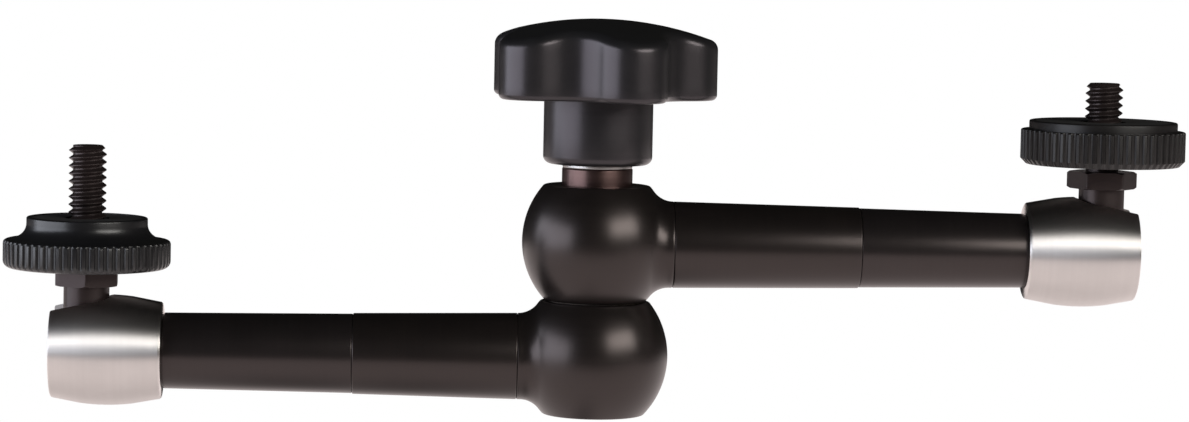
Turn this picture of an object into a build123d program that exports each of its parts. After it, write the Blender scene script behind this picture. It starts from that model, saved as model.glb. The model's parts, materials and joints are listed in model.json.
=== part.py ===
from build123d import *
from dataclasses import dataclass
from math import asin, cos, hypot, radians, sin, sqrt, tan
import os

# Articulating friction arm in millimetres, +Z up.
# Two tube arms meet in stacked hubs that turn on one vertical spindle. A star knob pulls the
# spindle up and pushes a cone down, the two cones drive a push rod along each arm, and each rod
# presses a cup on the ball of the stud at the arm's end, so one knob locks all three joints.
# The origin is the centre of the lower hub's flat base. The lower arm runs along -X, the upper
# arm along +X.

# Clearances
RUNNING = 0.08                  # radial, between a turning or sliding piece and its bore
CONTACT = 0.06                  # between faces that press on each other when locked
END_FLOAT = 0.4                 # lengthwise room behind a sliding or blind-fitted piece
SLIP = 0.05                     # face to face, between flat faces that turn on each other

# Hubs
HUB_R = 12.2                    # widest radius
HUB_BULGE_R = 14.2              # radius of the arc that bulges the side
HUB_BULGE_RISE = 0.35           # widest level above the arm's axis
HUB_OUTLINE_STEPS = 8           # spans of the smooth curve down the side
AXIS_IN_HUB = 9.35              # height of the arm's axis above the hub's base
LOWER_HUB_HEIGHT = 18.7
UPPER_HUB_HEIGHT = 19.0
HUB_EDGE_R = 0.6                # rounding round each flat
HUB_GAP = 0.2                   # between the flats of the two hubs
NECK_PROUD = 0.5                # how far the neck stands out past the widest radius
NECK_BLEND_R = 4.0              # fillet from hub to neck
SPIGOT_R = 5.2                  # plain spigots that join hub, taper tube and end tube
SPIGOT_LENGTH = 6.0
PILOT_DEPTH = 1.8               # boss under the upper hub that centres it in the lower one
SEAM_BEVEL = 0.22               # bevel on both sides of a visible seam

# Arms
REACH = 83.6                    # hub axis to ball centre
TUBE_ROOT_R = 7.13              # taper tube at the hub, and the neck
TUBE_STEP_R = 6.67              # taper tube at its outer end
LOWER_TAPER_LENGTH = 27.1
UPPER_TAPER_LENGTH = 30.8
END_ROOT_R = 6.55               # end tube where it leaves the taper tube
LOWER_END_TIP_R = 6.24          # end tube where it enters the socket
UPPER_END_TIP_R = 6.12
TUBE_BORE_R = 4.0

# Ball sockets
SOCKET_LENGTH = 18.1
SOCKET_END_R = 7.95             # barrel radius at the mouth and at the inner end
SOCKET_MID_R = 9.1              # barrel radius at its crown
SOCKET_SHOULDER_R = 8.85        # barrel radius where the crown meets the two end cones
SOCKET_CONE_LENGTH = 4.9        # length of each end cone
SOCKET_EDGE_R = 0.3
SOCKET_GAP = 0.35               # shadow gap between the barrel and the end tube's shoulder
MOUTH_REACH = 5.6               # ball centre to mouth plane
MOUTH_R = 4.6                   # opening that the neck points out of
MOUTH_CHAMFER = 0.5
SLOT_SIDE_GAP = 0.55            # slot wall to neck, each side
SLOT_END_GAP = 0.8              # slot end to neck when the stud is upright
NOSE_TO_BALL = 0.7              # end tube's nose to the ball's back
RING_WIRE_R = 0.45              # wire of the snap ring that holds the socket on its tube
RING_OPENING_DEG = 24.0
RING_INSET = 3.2                # socket's inner face to the ring

# Ball studs
BALL_R = 6.0
NECK_R = 3.75
HEX_ACROSS_FLATS = 10.0
HEX_BASE = 10.6                 # height of the collar's underside above the ball centre
HEX_HEIGHT = 2.8
HEX_BEVEL = 0.45
THREAD_R = 3.175                # 1/4 inch camera thread
THREAD_POINT = 0.7              # bevel at the tip
LOWER_STUD_TOP = 33.65          # tip above the ball centre
UPPER_STUD_TOP = 28.0
LOWER_HEX_TURN = 33.0           # degrees, how each stud happens to stand
UPPER_HEX_TURN = -4.0

# Lock wheels
FLUTES = 60
FLUTE_R = 0.5
FLUTE_DEPTH = 0.38
WHEEL_BORE_R = 2.75             # inside radius of the wheels' threaded hole
WHEEL_EDGE_BEVEL = 0.22         # bevel round the sharp edges of both wheels
RIM_EDGE_R = 0.6                # rounding along the top of the lower wheel's rim
WHEEL_UNDER_EDGE_R = 1.2        # rounding under the lower wheel's rim
LOWER_WHEEL_R = 13.7
LOWER_WHEEL_LIFT = 0.1          # wheel's underside above the collar
LOWER_RIM_HEIGHT = 4.6
LOWER_WHEEL_HEIGHT = 8.3
LOWER_TABLE_R = 9.9             # camera table on top of the lower wheel
LOWER_TABLE_EDGE = 1.1          # height of the table's upright edge
UPPER_WHEEL_R = 13.55
UPPER_WHEEL_LIFT = 1.1
UPPER_RIM_HEIGHT = 5.7
UPPER_WHEEL_HEIGHT = 7.2
UPPER_TABLE_R = 12.2
UPPER_UNDER_BEVEL = 0.9         # bevel under the upper wheel's rim
PAD_RIM = 0.8                   # metal left round each friction pad
PAD_DEPTH = 0.5
PAD_HOLE_R = 3.6                # hole of the pad, clear of the screw
PAD_SINK = 0.1                  # how far the pad lies below the rim

# Clamp
CONE_HALF_ANGLE = 30.0
CONE_MID_R = 4.7                # radius of both cones at the height of their rod
CLAMP_BORE_R = 5.9              # bore in both hubs
SPINDLE_R = 3.0
SPINDLE_FLANGE = 2.0            # straight part of the spindle's head
SPINDLE_TOP = 55.0              # height of the tip above the base
CONE_NOSE_R = 4.0               # plain end below the upper cone
CONE_NOSE_LENGTH = 1.5
COLLAR_PROUD = 2.9              # how far the upper cone's shank stands out of the hub
COLLAR_BEVEL = 0.3
ROD_R = 2.0
SEAT_LENGTH = 5.5
SEAT_HOLE = 2.8                 # how deep the rod sits in its cup
KNOB_THREAD_PITCH = 1.0
RELEASE_TURNS = 1.0
FRICTION_WASHER_R = 7.5
FRICTION_WASHER_THICKNESS = 1.15
THRUST_WASHER_R = 5.75
THRUST_WASHER_THICKNESS = 0.6

# Star knob
KNOB_R = 19.5
KNOB_LOBES = 5
KNOB_LOBE_R = 6.0
KNOB_VALLEY_R = 7.0
KNOB_TURN = 2.0                 # degrees, direction of the first lobe from +X
KNOB_SHANK_R = 9.0
KNOB_SHANK_LENGTH = 10.8
KNOB_HEAD_HEIGHT = 13.1
KNOB_DOME_R = 55.0
KNOB_TOP_EDGE_R = 1.8
KNOB_UNDER_EDGE_R = 0.9
KNOB_SHANK_EDGE_R = 1.3
INSERT_ACROSS_FLATS = 11.0
INSERT_OVER_TIP = 0.9           # room above the spindle's tip

# Places that follow from the sizes above
LOWER_AXIS = AXIS_IN_HUB
UPPER_BASE = LOWER_HUB_HEIGHT + HUB_GAP
UPPER_AXIS = UPPER_BASE + AXIS_IN_HUB
UPPER_TOP = UPPER_BASE + UPPER_HUB_HEIGHT
SEAM = HUB_R + NECK_PROUD
MOUTH = REACH + MOUTH_REACH
SOCKET_FACE = MOUTH - SOCKET_LENGTH
CAVITY_R = BALL_R + RUNNING
JOURNAL_R = BALL_R
NOSE_END = REACH - BALL_R - NOSE_TO_BALL
RING_PLACE = SOCKET_FACE + RING_INSET
RELEASE_RISE = KNOB_THREAD_PITCH * RELEASE_TURNS / 2
CONE_SLOPE = tan(radians(CONE_HALF_ANGLE))
HEAD_R = CLAMP_BORE_R - RUNNING
HEAD_CONE_LOW = LOWER_AXIS - (HEAD_R - CONE_MID_R) / CONE_SLOPE
HEAD_CONE_HIGH = LOWER_AXIS + (CONE_MID_R - SPINDLE_R) / CONE_SLOPE
HEAD_BASE = HEAD_CONE_LOW - SPINDLE_FLANGE
COLLAR_CONE_LOW = UPPER_AXIS - (CONE_MID_R - CONE_NOSE_R) / CONE_SLOPE
COLLAR_CONE_HIGH = UPPER_AXIS + (HEAD_R - CONE_MID_R) / CONE_SLOPE
COLLAR_BASE = COLLAR_CONE_LOW - CONE_NOSE_LENGTH
COLLAR_TOP = UPPER_TOP + COLLAR_PROUD
KNOB_BASE = COLLAR_TOP + THRUST_WASHER_THICKNESS
INSERT_TOP = SPINDLE_TOP + INSERT_OVER_TIP
ROD_NOSE = CONE_MID_R + (ROD_R + CONTACT) / cos(radians(CONE_HALF_ANGLE))
CUP_R = BALL_R + CONTACT
SEAT_R = TUBE_BORE_R - RUNNING
SEAT_FRONT = REACH - sqrt(CUP_R ** 2 - SEAT_R ** 2)
SEAT_BACK = SEAT_FRONT - SEAT_LENGTH
ROD_END = SEAT_BACK + SEAT_HOLE
HEX_TOP = HEX_BASE + HEX_HEIGHT
WHEEL_SEAT_R = WHEEL_BORE_R - RUNNING


@dataclass(frozen=True)
class Arm:
    """What differs between the two arms."""

    name: str
    axis_height: float
    heading: float
    taper_length: float
    end_tip_r: float
    stud_top: float
    hex_turn: float

    @property
    def step(self):
        """Distance from the hub axis to the seam between the two tubes."""
        return SEAM + self.taper_length

    def placed(self, shape):
        """Put a piece modelled along +X, round the arm's axis, into the whole object."""
        return Pos(0, 0, self.axis_height) * Rot(0, 0, self.heading) * shape

    def placed_at_ball(self, shape):
        """Put a piece modelled round the ball centre into the whole object."""
        return self.placed(Pos(REACH, 0, 0) * shape)


LOWER = Arm("lower", LOWER_AXIS, 180, LOWER_TAPER_LENGTH, LOWER_END_TIP_R,
            LOWER_STUD_TOP, LOWER_HEX_TURN)
UPPER = Arm("upper", UPPER_AXIS, 0, UPPER_TAPER_LENGTH, UPPER_END_TIP_R,
            UPPER_STUD_TOP, UPPER_HEX_TURN)


def turned_z(points):
    """Turn a closed outline of (radius, height) corners round the Z axis."""
    corners = [(r, 0, z) for r, z in points]
    return revolve(Face(Wire(Polyline(*corners, close=True).edges())), Axis.Z)


def turned_x(points):
    """Turn a closed outline of (distance, radius) corners round the X axis."""
    corners = [(u, r, 0) for u, r in points]
    return revolve(Face(Wire(Polyline(*corners, close=True).edges())), Axis.X)


def bar_z(radius, low, high):
    """Upright cylinder between two heights."""
    return Pos(0, 0, low) * Cylinder(radius, high - low, align=(Align.CENTER, Align.CENTER, Align.MIN))


def bar_x(radius, near, far):
    """Cylinder along the arm between two distances from the hub axis."""
    return Pos(near, 0, 0) * Rot(0, 90, 0) * bar_z(radius, 0, far - near)


def hex_prism(across_flats, low, high, turn=0.0):
    """Upright hexagonal prism."""
    outline = Rot(0, 0, turn) * RegularPolygon(across_flats / 2, 6, major_radius=False)
    return Pos(0, 0, low) * extrude(outline, high - low)


def hub_radius(level):
    """Radius of the bulged side at a height above the arm's axis."""
    return HUB_R - HUB_BULGE_R + sqrt(HUB_BULGE_R ** 2 - (level - HUB_BULGE_RISE) ** 2)


def hub_lean(level):
    """Direction of the bulged side's outline at a height above the arm's axis."""
    away = (level - HUB_BULGE_RISE) / HUB_BULGE_R
    return (-away, 0, sqrt(1 - away ** 2))


def hub_body(height):
    """Bulged hub with its neck and spigot, placed round the arm's axis."""
    base = -AXIS_IN_HUB
    top = height - AXIS_IN_HUB
    levels = [base + (top - base) * step / HUB_OUTLINE_STEPS for step in range(HUB_OUTLINE_STEPS + 1)]
    outline = [(hub_radius(level), 0, level) for level in levels]
    side = Spline(*outline, tangents=(hub_lean(base), hub_lean(top)))
    rest = Polyline((hub_radius(top), 0, top), (0, 0, top), (0, 0, base), (hub_radius(base), 0, base))
    body = revolve(Face(Wire(side.edges() + rest.edges())), Axis.Z)
    neck = turned_x([
        (0, 0), (0, TUBE_ROOT_R), (SEAM - SEAM_BEVEL, TUBE_ROOT_R), (SEAM, TUBE_ROOT_R - SEAM_BEVEL),
        (SEAM, SPIGOT_R), (SEAM + SPIGOT_LENGTH, SPIGOT_R), (SEAM + SPIGOT_LENGTH, 0),
    ])
    body = body + neck

    def joins_neck(edge):
        middle = edge @ 0.5
        on_neck = abs(hypot(middle.Y, middle.Z) - TUBE_ROOT_R) < SEAM_BEVEL / 2
        return on_neck and middle.X < HUB_R

    body = fillet(body.edges().filter_by(joins_neck), NECK_BLEND_R)
    rims = body.edges().group_by(Axis.Z)
    body = fillet(rims[0] + rims[-1], HUB_EDGE_R)
    return body - bar_x(ROD_R + RUNNING, 0, SEAM + SPIGOT_LENGTH)


def lower_hub():
    """Hub that is closed below and open above, bored for the spindle's conical head."""
    top = LOWER_HUB_HEIGHT - AXIS_IN_HUB
    floor = HEAD_BASE - RELEASE_RISE - END_FLOAT - LOWER_AXIS
    pocket = bar_z(CLAMP_BORE_R, floor, top)
    recess = bar_z(FRICTION_WASHER_R + RUNNING, top - washer_sink(), top)
    return LOWER.placed(hub_body(LOWER_HUB_HEIGHT) - pocket - recess)


def upper_hub():
    """Hub bored from above for the clamp cone, with a pilot boss below."""
    pilot_end = -AXIS_IN_HUB - HUB_GAP - PILOT_DEPTH
    floor = COLLAR_BASE - END_FLOAT - UPPER_AXIS
    pilot = bar_z(CLAMP_BORE_R - RUNNING, pilot_end, -AXIS_IN_HUB)
    pocket = bar_z(CLAMP_BORE_R, floor, UPPER_HUB_HEIGHT - AXIS_IN_HUB)
    shaft = bar_z(SPINDLE_R + RUNNING, pilot_end, floor)
    return UPPER.placed(hub_body(UPPER_HUB_HEIGHT) + pilot - pocket - shaft)


def washer_sink():
    """How deep the friction washer lies in the lower hub, so that it just carries the upper one."""
    return FRICTION_WASHER_THICKNESS - HUB_GAP + SLIP


def friction_washer():
    """Flat ring between the two hubs."""
    base = LOWER_HUB_HEIGHT - washer_sink()
    top = base + FRICTION_WASHER_THICKNESS
    return bar_z(FRICTION_WASHER_R, base, top) - bar_z(CLAMP_BORE_R + RUNNING, base, top)


def taper_tube(arm):
    """Inner tube of an arm, counterbored at both ends for the spigots."""
    root, step = SEAM, arm.step
    return arm.placed(turned_x([
        (root, SPIGOT_R), (root, TUBE_ROOT_R - SEAM_BEVEL), (root + SEAM_BEVEL, TUBE_ROOT_R),
        (step - SEAM_BEVEL, TUBE_STEP_R), (step, TUBE_STEP_R - SEAM_BEVEL),
        (step, SPIGOT_R), (step - SPIGOT_LENGTH, SPIGOT_R), (step - SPIGOT_LENGTH, TUBE_BORE_R),
        (root + SPIGOT_LENGTH, TUBE_BORE_R), (root + SPIGOT_LENGTH, SPIGOT_R),
    ]))


def end_tube(arm):
    """Outer tube of an arm, with the journal that the socket turns on."""
    step = arm.step
    shoulder = SOCKET_FACE - SOCKET_GAP
    groove_half = RING_WIRE_R + RUNNING
    groove_r = JOURNAL_R - 2 * RING_WIRE_R
    return arm.placed(turned_x([
        (step - SPIGOT_LENGTH, TUBE_BORE_R), (step - SPIGOT_LENGTH, SPIGOT_R), (step, SPIGOT_R),
        (step, END_ROOT_R - SEAM_BEVEL), (step + SEAM_BEVEL, END_ROOT_R),
        (shoulder, arm.end_tip_r), (shoulder, JOURNAL_R),
        (RING_PLACE - groove_half, JOURNAL_R), (RING_PLACE - groove_half, groove_r),
        (RING_PLACE + groove_half, groove_r), (RING_PLACE + groove_half, JOURNAL_R),
        (NOSE_END - SEAM_BEVEL, JOURNAL_R), (NOSE_END, JOURNAL_R - SEAM_BEVEL),
        (NOSE_END, TUBE_BORE_R),
    ]))


def snap_ring(arm):
    """Open wire ring, half in the tube's groove and half in the socket's."""
    section = Pos(RING_PLACE, CAVITY_R - SLIP, 0) * Circle(RING_WIRE_R)
    ring = revolve(section, Axis.X, 360 - RING_OPENING_DEG)
    return arm.placed(ring)


def socket(arm):
    """Crowned barrel with a round ball cavity, an open mouth and a slot along its top."""
    cone_near = SOCKET_FACE + SOCKET_CONE_LENGTH
    cone_far = MOUTH - SOCKET_CONE_LENGTH
    lip = REACH + sqrt(CAVITY_R ** 2 - MOUTH_R ** 2)
    middle = (asin(MOUTH_R / CAVITY_R) + radians(90)) / 2
    outside = [
        Polyline((SOCKET_FACE, CAVITY_R, 0), (SOCKET_FACE, SOCKET_END_R - SOCKET_EDGE_R, 0),
                 (SOCKET_FACE + SOCKET_EDGE_R, SOCKET_END_R, 0), (cone_near, SOCKET_SHOULDER_R, 0)),
        ThreePointArc((cone_near, SOCKET_SHOULDER_R, 0), ((cone_near + cone_far) / 2, SOCKET_MID_R, 0),
                      (cone_far, SOCKET_SHOULDER_R, 0)),
        Polyline((cone_far, SOCKET_SHOULDER_R, 0), (MOUTH - SOCKET_EDGE_R, SOCKET_END_R, 0),
                 (MOUTH, SOCKET_END_R - SOCKET_EDGE_R, 0), (MOUTH, MOUTH_R + MOUTH_CHAMFER, 0),
                 (MOUTH - MOUTH_CHAMFER, MOUTH_R, 0), (lip, MOUTH_R, 0)),
    ]
    inside = [
        ThreePointArc((lip, MOUTH_R, 0),
                      (REACH + CAVITY_R * cos(middle), CAVITY_R * sin(middle), 0),
                      (REACH, CAVITY_R, 0)),
        Line((REACH, CAVITY_R, 0), (SOCKET_FACE, CAVITY_R, 0)),
    ]
    edges = [edge for curve in outside + inside for edge in curve.edges()]
    barrel = revolve(Face(Wire(edges)), Axis.X)
    groove = bar_x(CAVITY_R + RING_WIRE_R, RING_PLACE - RING_WIRE_R - RUNNING,
                   RING_PLACE + RING_WIRE_R + RUNNING)
    return arm.placed(barrel - groove - neck_slot())


def neck_slot():
    """Room for the stud's neck, from upright to pointing out of the mouth."""
    half = NECK_R + SLOT_SIDE_GAP
    centre = REACH - NECK_R - SLOT_END_GAP + half
    outline = Pos(centre, 0) * Circle(half)
    outline += Pos((centre + MOUTH + half) / 2, 0) * Rectangle(MOUTH + half - centre, 2 * half)
    return extrude(outline, SOCKET_MID_R + half)


def ball_stud(arm):
    """Ball, neck, hexagonal collar and camera screw in one turned piece."""
    wheel_top = HEX_TOP + wheel_rise(arm)
    stem = turned_z([
        (0, 0), (NECK_R, 0), (NECK_R, HEX_BASE), (WHEEL_SEAT_R, HEX_BASE), (WHEEL_SEAT_R, wheel_top),
        (THREAD_R, wheel_top), (THREAD_R, arm.stud_top - THREAD_POINT),
        (THREAD_R - THREAD_POINT, arm.stud_top), (0, arm.stud_top),
    ])
    corner_r = HEX_ACROSS_FLATS / sqrt(3)
    bevelled = turned_z([
        (0, HEX_BASE), (corner_r - HEX_BEVEL, HEX_BASE), (corner_r, HEX_BASE + HEX_BEVEL),
        (corner_r, HEX_TOP - HEX_BEVEL), (corner_r - HEX_BEVEL, HEX_TOP), (0, HEX_TOP),
    ])
    collar = hex_prism(HEX_ACROSS_FLATS, HEX_BASE, HEX_TOP, arm.hex_turn) & bevelled
    return arm.placed_at_ball(Sphere(BALL_R) + stem + collar)


def wheel_rise(arm):
    """Height of the wheel's table above the top of the collar."""
    if arm is LOWER:
        return LOWER_WHEEL_LIFT + LOWER_WHEEL_HEIGHT
    return UPPER_WHEEL_LIFT + UPPER_WHEEL_HEIGHT


def fluted(body, rim_r, low, high):
    """Cut straight flutes all round a wheel's rim."""
    flute = Circle(FLUTE_R)
    cutters = PolarLocations(rim_r + FLUTE_R - FLUTE_DEPTH, FLUTES)
    outline = Circle(rim_r + FLUTE_R) - [place * flute for place in cutters]
    return body & (Pos(0, 0, low) * extrude(outline, high - low))


def wheel_bore(low, top):
    """Plain hole that stands for the wheel's thread."""
    return bar_z(WHEEL_BORE_R, low, top)


def pad_recess(table_r, top):
    """Shallow recess for a friction pad."""
    return bar_z(table_r - PAD_RIM, top - PAD_DEPTH, top)


def lower_lock_wheel():
    """Fluted wheel whose side sweeps in to a smaller camera table."""
    low = HEX_TOP + LOWER_WHEEL_LIFT
    rim = low + LOWER_RIM_HEIGHT
    top = low + LOWER_WHEEL_HEIGHT
    under = WHEEL_UNDER_EDGE_R * (1 - sqrt(0.5))
    upper = RIM_EDGE_R * (1 - sqrt(0.5))
    sweep_start = LOWER_WHEEL_R - RIM_EDGE_R
    sweep_end = top - LOWER_TABLE_EDGE
    sweep = 1 - sqrt(0.5)
    middle = (LOWER_TABLE_R + (sweep_start - LOWER_TABLE_R) * sweep, 0, rim + (sweep_end - rim) * sweep)
    outline = [
        Line((0, 0, low), (LOWER_WHEEL_R - WHEEL_UNDER_EDGE_R, 0, low)),
        ThreePointArc((LOWER_WHEEL_R - WHEEL_UNDER_EDGE_R, 0, low), (LOWER_WHEEL_R - under, 0, low + under),
                      (LOWER_WHEEL_R, 0, low + WHEEL_UNDER_EDGE_R)),
        Line((LOWER_WHEEL_R, 0, low + WHEEL_UNDER_EDGE_R), (LOWER_WHEEL_R, 0, rim - RIM_EDGE_R)),
        ThreePointArc((LOWER_WHEEL_R, 0, rim - RIM_EDGE_R), (LOWER_WHEEL_R - upper, 0, rim - upper),
                      (sweep_start, 0, rim)),
        ThreePointArc((sweep_start, 0, rim), middle, (LOWER_TABLE_R, 0, sweep_end)),
        Polyline((LOWER_TABLE_R, 0, sweep_end), (LOWER_TABLE_R, 0, top - WHEEL_EDGE_BEVEL),
                 (LOWER_TABLE_R - WHEEL_EDGE_BEVEL, 0, top), (0, 0, top), (0, 0, low)),
    ]
    edges = [edge for curve in outline for edge in curve.edges()]
    body = revolve(Face(Wire(edges)), Axis.Z)
    wheel = fluted(body, LOWER_WHEEL_R, low, top)
    return LOWER.placed_at_ball(wheel - wheel_bore(low, top) - pad_recess(LOWER_TABLE_R, top))


def upper_lock_wheel():
    """Fluted wheel with a bevelled underside and a wide raised table."""
    low = HEX_TOP + UPPER_WHEEL_LIFT
    rim = low + UPPER_RIM_HEIGHT
    top = low + UPPER_WHEEL_HEIGHT
    body = turned_z([
        (0, low), (UPPER_WHEEL_R - UPPER_UNDER_BEVEL, low), (UPPER_WHEEL_R, low + UPPER_UNDER_BEVEL),
        (UPPER_WHEEL_R, rim - WHEEL_EDGE_BEVEL), (UPPER_WHEEL_R - WHEEL_EDGE_BEVEL, rim),
        (UPPER_TABLE_R, rim), (UPPER_TABLE_R, top - WHEEL_EDGE_BEVEL),
        (UPPER_TABLE_R - WHEEL_EDGE_BEVEL, top), (0, top),
    ])
    wheel = fluted(body, UPPER_WHEEL_R, low, top)
    return UPPER.placed_at_ball(wheel - wheel_bore(low, top) - pad_recess(UPPER_TABLE_R, top))


def wheel_pad(arm):
    """Rubber ring let into the table of a lock wheel."""
    table_r = LOWER_TABLE_R if arm is LOWER else UPPER_TABLE_R
    floor = HEX_TOP + wheel_rise(arm) - PAD_DEPTH
    top = floor + PAD_DEPTH - PAD_SINK
    ring = bar_z(table_r - PAD_RIM, floor, top) - bar_z(PAD_HOLE_R, floor, top)
    return arm.placed_at_ball(ring)


def clamp_spindle():
    """Bolt with a conical head in the lower hub and its thread in the knob."""
    return turned_z([
        (0, HEAD_BASE), (HEAD_R, HEAD_BASE), (HEAD_R, HEAD_CONE_LOW), (SPINDLE_R, HEAD_CONE_HIGH),
        (SPINDLE_R, SPINDLE_TOP - THREAD_POINT), (SPINDLE_R - THREAD_POINT, SPINDLE_TOP), (0, SPINDLE_TOP),
    ])


def clamp_cone():
    """Sliding cone of the upper hub, whose shank stands out of it as a bright collar."""
    bore_r = SPINDLE_R + RUNNING
    return turned_z([
        (bore_r, COLLAR_BASE), (CONE_NOSE_R, COLLAR_BASE), (CONE_NOSE_R, COLLAR_CONE_LOW),
        (HEAD_R, COLLAR_CONE_HIGH), (HEAD_R, COLLAR_TOP - COLLAR_BEVEL),
        (HEAD_R - COLLAR_BEVEL, COLLAR_TOP), (bore_r, COLLAR_TOP),
    ])


def thrust_washer():
    """Polished washer that the knob turns on."""
    ring = bar_z(THRUST_WASHER_R, COLLAR_TOP, KNOB_BASE)
    return ring - bar_z(SPINDLE_R + RUNNING, COLLAR_TOP, KNOB_BASE)


def push_rod(arm):
    """Rod with a round nose on the cone and its far end in the ball's cup."""
    flank = ROD_R * sqrt(0.5)
    nose = ThreePointArc((ROD_NOSE - ROD_R, 0, 0), (ROD_NOSE - flank, flank, 0), (ROD_NOSE, ROD_R, 0))
    rest = Polyline((ROD_NOSE, ROD_R, 0), (ROD_END, ROD_R, 0), (ROD_END, 0, 0), (ROD_NOSE - ROD_R, 0, 0))
    return arm.placed(revolve(Face(Wire(nose.edges() + rest.edges())), Axis.X))


def ball_cup(arm):
    """Piston with a round hollow that presses on the ball."""
    hollow_back = REACH - CUP_R
    between = (SEAT_R / 2, REACH - sqrt(CUP_R ** 2 - SEAT_R ** 2 / 4))
    hollow = ThreePointArc((SEAT_FRONT, SEAT_R, 0), (between[1], between[0], 0), (hollow_back, 0, 0))
    rest = Polyline((hollow_back, 0, 0), (ROD_END, 0, 0), (ROD_END, ROD_R, 0), (SEAT_BACK, ROD_R, 0),
                    (SEAT_BACK, SEAT_R, 0), (SEAT_FRONT, SEAT_R, 0))
    return arm.placed(revolve(Face(Wire(hollow.edges() + rest.edges())), Axis.X))


def knob_outline():
    """Star outline: round lobes joined by tangent hollows."""
    lobe_place = KNOB_R - KNOB_LOBE_R
    half_pitch = 180 / KNOB_LOBES
    across = lobe_place * sin(radians(half_pitch))
    between = KNOB_LOBE_R + KNOB_VALLEY_R
    valley_place = lobe_place * cos(radians(half_pitch)) + sqrt(between ** 2 - across ** 2)
    arcs = []
    for lobe in range(KNOB_LOBES):
        heading = KNOB_TURN + 2 * half_pitch * lobe
        centre = Vector(lobe_place, 0).rotate(Axis.Z, heading)
        valley = Vector(valley_place, 0).rotate(Axis.Z, heading + half_pitch)
        before = Vector(valley_place, 0).rotate(Axis.Z, heading - half_pitch)
        start = centre + (before - centre).normalized() * KNOB_LOBE_R
        tip = Vector(KNOB_R, 0).rotate(Axis.Z, heading)
        end = centre + (valley - centre).normalized() * KNOB_LOBE_R
        deep = Vector(valley_place - KNOB_VALLEY_R, 0).rotate(Axis.Z, heading + half_pitch)
        following = Vector(lobe_place, 0).rotate(Axis.Z, heading + 2 * half_pitch)
        resume = following + (valley - following).normalized() * KNOB_LOBE_R
        arcs += [ThreePointArc(start, tip, end), ThreePointArc(end, deep, resume)]
    return Face(Wire(arcs))


def star_knob():
    """Moulded five-lobed grip on a round shank, with a domed top."""
    head_base = KNOB_BASE + KNOB_SHANK_LENGTH
    crown = head_base + KNOB_HEAD_HEIGHT
    head = Pos(0, 0, head_base) * extrude(knob_outline(), KNOB_HEAD_HEIGHT)
    head = head & Pos(0, 0, crown - KNOB_DOME_R) * Sphere(KNOB_DOME_R)
    head = fillet(head.faces().sort_by(Axis.Z)[-1].edges(), KNOB_TOP_EDGE_R)
    head = fillet(head.faces().sort_by(Axis.Z)[0].edges(), KNOB_UNDER_EDGE_R)
    shank = bar_z(KNOB_SHANK_R, KNOB_BASE, head_base)
    shank = fillet(shank.edges().group_by(Axis.Z)[0], KNOB_SHANK_EDGE_R)
    return head + shank - hex_prism(INSERT_ACROSS_FLATS, KNOB_BASE, INSERT_TOP)


def knob_insert():
    """Threaded hexagonal metal insert moulded into the knob."""
    body = hex_prism(INSERT_ACROSS_FLATS, KNOB_BASE, INSERT_TOP)
    return body - bar_z(SPINDLE_R + RUNNING, KNOB_BASE, INSERT_TOP)


def pieces():
    """Every separate piece by name."""
    made = {
        "lower_hub": lower_hub(),
        "upper_hub": upper_hub(),
        "friction_washer": friction_washer(),
        "clamp_spindle": clamp_spindle(),
        "clamp_cone": clamp_cone(),
        "thrust_washer": thrust_washer(),
        "star_knob": star_knob(),
        "knob_insert": knob_insert(),
        "lower_lock_wheel": lower_lock_wheel(),
        "upper_lock_wheel": upper_lock_wheel(),
    }
    for arm in (LOWER, UPPER):
        made[f"{arm.name}_taper_tube"] = taper_tube(arm)
        made[f"{arm.name}_end_tube"] = end_tube(arm)
        made[f"{arm.name}_snap_ring"] = snap_ring(arm)
        made[f"{arm.name}_socket"] = socket(arm)
        made[f"{arm.name}_ball_stud"] = ball_stud(arm)
        made[f"{arm.name}_wheel_pad"] = wheel_pad(arm)
        made[f"{arm.name}_push_rod"] = push_rod(arm)
        made[f"{arm.name}_ball_cup"] = ball_cup(arm)
    return made


def main():
    """Write every piece to its own file."""
    os.makedirs("parts", exist_ok=True)
    for name, shape in pieces().items():
        export_step(shape, f"parts/{name}.step")


if __name__ == "__main__":
    main()
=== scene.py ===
"""Dresses the articulating friction arm with fine meshes, finishes, light and a camera."""
from __future__ import annotations

import json
import logging
import math
from dataclasses import dataclass
from enum import Enum
from typing import Iterable, Sequence

import bmesh
import bpy
import numpy as np
from mathutils import Matrix, Vector

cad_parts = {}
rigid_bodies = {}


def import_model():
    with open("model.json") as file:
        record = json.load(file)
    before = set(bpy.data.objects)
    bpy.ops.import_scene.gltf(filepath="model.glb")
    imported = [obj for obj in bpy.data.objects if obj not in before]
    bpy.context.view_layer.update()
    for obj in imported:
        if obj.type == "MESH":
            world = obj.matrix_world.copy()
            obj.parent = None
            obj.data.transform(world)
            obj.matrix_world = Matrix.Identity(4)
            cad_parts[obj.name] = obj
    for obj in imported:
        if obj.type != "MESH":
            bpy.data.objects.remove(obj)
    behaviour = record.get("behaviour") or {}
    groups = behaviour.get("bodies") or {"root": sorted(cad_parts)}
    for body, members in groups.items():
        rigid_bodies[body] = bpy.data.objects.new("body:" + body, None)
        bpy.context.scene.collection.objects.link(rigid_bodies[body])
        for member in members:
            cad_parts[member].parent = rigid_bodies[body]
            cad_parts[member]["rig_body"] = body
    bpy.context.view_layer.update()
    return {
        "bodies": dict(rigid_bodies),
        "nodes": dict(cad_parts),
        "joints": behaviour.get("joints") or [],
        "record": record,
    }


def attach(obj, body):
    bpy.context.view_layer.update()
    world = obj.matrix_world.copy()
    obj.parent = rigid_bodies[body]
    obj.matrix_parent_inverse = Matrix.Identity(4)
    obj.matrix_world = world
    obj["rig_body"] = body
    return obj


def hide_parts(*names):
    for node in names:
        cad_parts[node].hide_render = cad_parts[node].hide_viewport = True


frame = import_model()

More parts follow.
